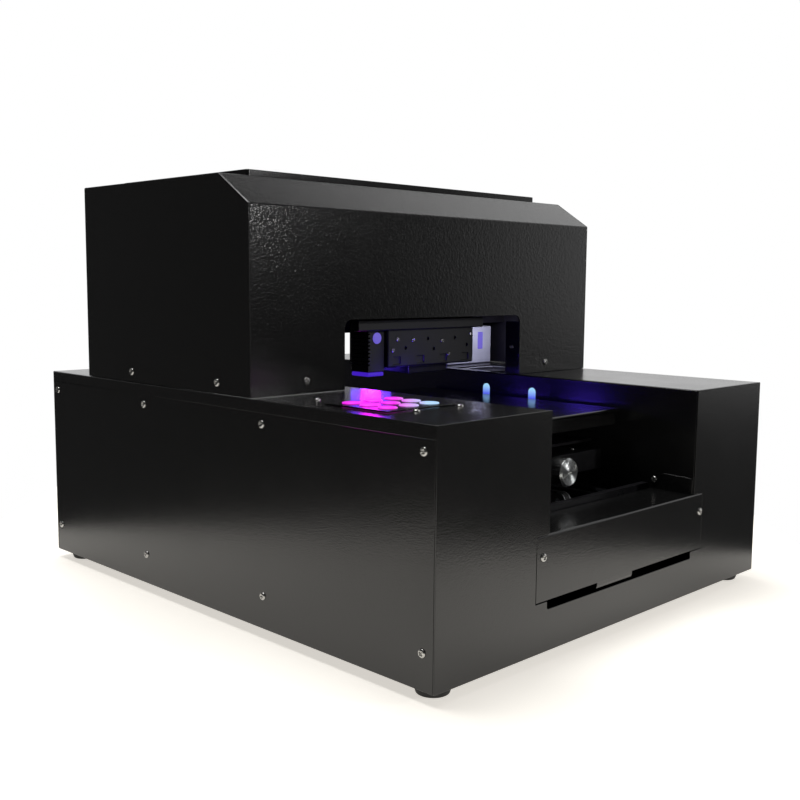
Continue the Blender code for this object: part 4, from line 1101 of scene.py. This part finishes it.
pump_line = [(pump_face + 0.002, 0), (pump_face + 0.002, 0.0180), (pump_low[1] + 1 * MM, 0.0180),
             (pump_low[1], 0.0168), (pump_low[1], 0.0120), (pump_low[1] + 1.2 * MM, 0.0110),
             (pump_low[1] + 1.2 * MM, 0)]
ribs = [brick((x, pump_face - 1 * MM, pump_low[2] + 4 * MM), (x + 1.6 * MM, pump_face + 1 * MM, 0.2340),
              0.2 * MM) for x in np.arange(0.168, 0.244, 0.006)]
piece("pump_case", "chassis", ABS_GREY, brick((0.160, pump_face, pump_low[2]), pump_high, 2.2 * MM),
      turned(pump_line, "Y", (0.205, 0, 0.256), 0.5 * MM, 48), stands_for=["suction_pump"],
      takes="grey_plastic", cuts=ribs)
gauge = brick((0.2215, pump_face - 1.2 * MM, 0.2490), (0.2310, pump_face + 1 * MM, 0.2720), 0.8 * MM)
piece("pump_gauge", "chassis", CLEAR, gauge, takes="light_window")
print("pump", [round(1000 * (b - a)) for a, b in zip(pump_low, pump_high)], "mm")

# %% [markdown]
# ## Ink tanks
# Six bottles stand under the lid, four colours and two whites. They share a moulded tray, so they are one
# block with grooves between them, and each has a ribbed screw cap.

# %% Ink tanks
tank_low, tank_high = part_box("ink_tanks")
TANK_TOP = 0.4050
gaps = [brick((x - 1.2 * MM, tank_low[1] - 0.01, 0.352), (x + 1.2 * MM, tank_high[1] + 0.01, 0.42), 0.2 * MM)
        for x in np.arange(-0.130, 0.10, 0.050)]
piece("tank_block", "chassis", ABS_GREY, brick(tank_low, (*tank_high[:2], TANK_TOP), 2.5 * MM),
      stands_for=["ink_tanks"], takes="grey_plastic", cuts=gaps)
cap_line = [(-0.002, 0), (-0.002, 0.0130), (0.0100, 0.0130), (0.0120, 0.0118), (0.0120, 0)]
caps = []
for x in -0.155 + 0.050 * np.arange(6):
    centre = np.array([x, 0.155, TANK_TOP])
    points, faces = turned(cap_line, "Z", centre, np.array([0, 0, 0.4, 0.9, 0]) * MM, 120, 4)
    out = (points - centre)[:, :2]
    reach, angle = np.hypot(*out.T), np.arctan2(*out.T)
    rib = (reach > 0.0125) * 0.35 * MM * (1 + np.cos(30 * angle))
    points[:, :2] = centre[:2] + out * (1 + rib / np.maximum(reach, 1e-6))[:, None]
    caps.append((points, faces))
piece("tank_caps", "chassis", ABS_BLACK, *caps, takes="black_plastic", crisp=30)
print(len(caps), "ink tanks")

# %% [markdown]
# ## Rear sheet
# The rear is one flat sheet, so its outline holds the channel's way out, and its five fan slots and its
# openings for the mains inlet and the rocker switch are punched through it.

# %% Rear sheet
(rear_left, rear_front, rear_foot), (rear_right, _, _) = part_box("rear_panel")
rear_line = [(rear_left, rear_foot), (rear_right, rear_foot), (rear_right, DECK), (right_in, DECK),
             (right_in, SILL), (left_in, SILL), (left_in, DECK), (rear_left, DECK)]
rear_holes = [brick((-0.222, 0.30, z), (-0.172, 0.33, z + 0.006), 2.4 * MM, "Y")
              for z in 0.1195 + 0.011 * np.arange(5)]
rear_holes += [brick((0.1857, 0.30, 0.0497), (0.2143, 0.33, 0.0703), 0.6 * MM, "Y"),
               brick((0.1497, 0.30, 0.0527), (0.1703, 0.33, 0.0673), 0.6 * MM, "Y")]
piece("rear_sheet", "chassis", COAT,
      carried(rounded(rear_line, 1.0 * MM), "Y", rear_front, rear_face, 0.4 * MM),
      stands_for=["rear_panel"], takes="powder_coat", cuts=rear_holes)
print(len(rear_holes), "openings in the rear sheet")

# %% [markdown]
# ## Fan, inlet and switch
# All three are bought parts in black plastic. The inlet is a moulded socket with a bezel and three flat
# pins. The rocker's two faces meet in a broad round bend, so its outline is carried along its own hinge
# line. The fan has a square frame with a round bore, cross arms, and a turned hub with seven cupped blades,
# each made from a formula.

# %% Fan, inlet and switch
inlet_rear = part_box("power_inlet")[1][1]
bezel = brick((0.182, rear_face + 0.3 * MM, 0.046), (0.218, inlet_rear, 0.074), 1.2 * MM)
socket = brick((0.190, 0.302, 0.0535), (0.210, 0.34, 0.0665), 1.5 * MM)
piece("inlet_body", "chassis", ABS_BLACK,
      brick((0.186, 0.292, 0.050), (0.214, inlet_rear - 0.4 * MM, 0.070), 0.8 * MM),
      stands_for=["power_inlet"], takes="black_plastic", cuts=[socket])
piece("inlet_bezel", "chassis", ABS_BLACK, bezel, takes="black_plastic", cuts=[socket])
pins = [brick((x - 0.6 * MM, 0.303, z - 2 * MM), (x + 0.6 * MM, inlet_rear - 2.5 * MM, z + 2 * MM), 0.25 * MM)
        for x, z in ((0.194, 0.059), (0.200, 0.061), (0.206, 0.059))]
piece("inlet_pins", "chassis", MILLED, *pins, takes="steel")
rocker_line = np.array([(-0.0085, -0.006), (0.0085, -0.006), (0.0085, 0.0035), (0.0, 0.0045),
                        (-0.0085, 0.0060)])
rocker = rounded(rocker_line + (0.160, 0.313), np.array([0.3, 0.3, 0.8, 6.0, 0.8]) * MM)
piece("switch_rocker", "power_switch", ABS_BLACK, carried(rocker, "Z", 0.0535, 0.0665, 0.5 * MM),
      stands_for=["power_switch"], takes="black_plastic")
fan_low, fan_high = map(np.array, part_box("fan_frame"))
fan_centre = (fan_low + fan_high) / 2
bore = turned([(-0.03, 0), (-0.03, 0.0275), (0.03, 0.0275), (0.03, 0)], "Y", fan_centre, sides=96)
corners = [turned([(-0.03, 0), (-0.03, 0.0022), (0.03, 0.0022), (0.03, 0)], "Y",
                  fan_centre + np.array([0.0248 * sx, 0, 0.0248 * sz]), sides=20)
           for sx in (-1, 1) for sz in (-1, 1)]
arms = [moved(brick((-0.0285, fan_low[1], -0.0021), (0.0285, fan_low[1] + 2.8 * MM, 0.0021), 0.5 * MM),
              np.array(Matrix.Rotation(turn, 3, "Y")), (fan_centre[0], 0, fan_centre[2]))
        for turn in (0, math.pi / 2)]
piece("fan_case", "chassis", ABS_BLACK, brick(fan_low, fan_high, 1.5 * MM, "Y"), stands_for=["fan_frame"],
      takes="black_plastic", cuts=[bore, *corners])
piece("fan_arms", "chassis", ABS_BLACK, *arms, takes="black_plastic")


def fan_blade(turn, inner=0.0108, outer=0.0250, thick=1.0 * MM):
    """A grid over the radius and the share of the blade's chord. It spans 0.72 rad, leans 0.30 rad further
    at its tip, and climbs from -4.6 to 4.6 mm at its root and 0.72 of that at its tip, plus a cup of 0.9
    sin(pi share) mm."""
    radius, share = np.meshgrid(np.linspace(inner, outer, 9), np.linspace(0, 1, 13), indexing="ij")
    angle = turn + 0.72 * (share - 0.5) + 0.30 * (radius - inner) / (outer - inner)
    climb = 0.0046 * (2 * share - 1) * (0.72 + 0.28 * (outer - radius) / (outer - inner))
    lift = climb + 0.9 * MM * np.sin(math.pi * share)
    top = np.stack([radius * np.sin(angle), lift + thick / 2, radius * np.cos(angle)], -1).reshape(-1, 3)
    points = np.concatenate([top, top - (0, thick, 0)])
    face = quads(9, 13, wrap_columns=False)
    edge = np.concatenate([np.arange(13), np.arange(1, 9) * 13 + 12, 8 * 13 + np.arange(11, -1, -1),
                           np.arange(7, 0, -1) * 13])
    rim = np.stack([edge, np.roll(edge, -1), np.roll(edge, -1) + 117, edge + 117], -1)
    return points, face.tolist() + (face[:, ::-1] + 117).tolist() + rim.tolist()


rotor_low, rotor_high = map(np.array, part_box("fan_rotor"))
rotor_mid = np.array([fan_centre[0], (rotor_low[1] + rotor_high[1]) / 2, fan_centre[2]])
hub_line = [(rotor_low[1], 0), (rotor_low[1], 0.0115), (rotor_high[1], 0.0115), (rotor_high[1], 0)]
hub = turned(hub_line, "Y", (rotor_mid[0], 0, rotor_mid[2]), np.array([0, 1.2, 1.2, 0]) * MM, 48)
blades = [moved(fan_blade(2 * math.pi * number / 7), None, rotor_mid) for number in range(7)]
piece("fan_wheel", "fan", ABS_BLACK, hub, *blades, stands_for=["fan_rotor"], takes="black_plastic", crisp=50)
print("the fan has", len(blades), "blades")

# %% [markdown]
# ## Sensor windows
# Two optical sensors look across the channel. Each has a frosted window that stands in an upright slot of
# the right wall, on one narrow circuit board behind it. The windows use the slots' own outline, less the
# gap, so they fit.

# %% Sensor windows
bar_low, bar_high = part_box("sensor_bar")
board = brick((right_in + SHEET + 0.3 * MM, bar_low[1], bar_low[2]), bar_high, 0.4 * MM)
windows = [carried(sensor_slot(y, 0.0), "X", right_in + 0.2 * MM, right_in + SHEET + 1.0 * MM, 0.3 * MM)
           for y in SENSOR_PLACES]
piece("sensor_board", "chassis", ABS_BLACK, board, stands_for=["sensor_bar"], takes="black_plastic")
piece("sensor_windows", "chassis", WINDOW_GLOW, *windows, takes="light_window")
recoat(["base_tray"], COAT)
print("rear and electronics done")

# %% [markdown]
# ## Finish
# The number of pieces and of their faces is printed.

# %% Count of pieces
print(len(made), "pieces,", sum(faces for _, faces in made), "faces")
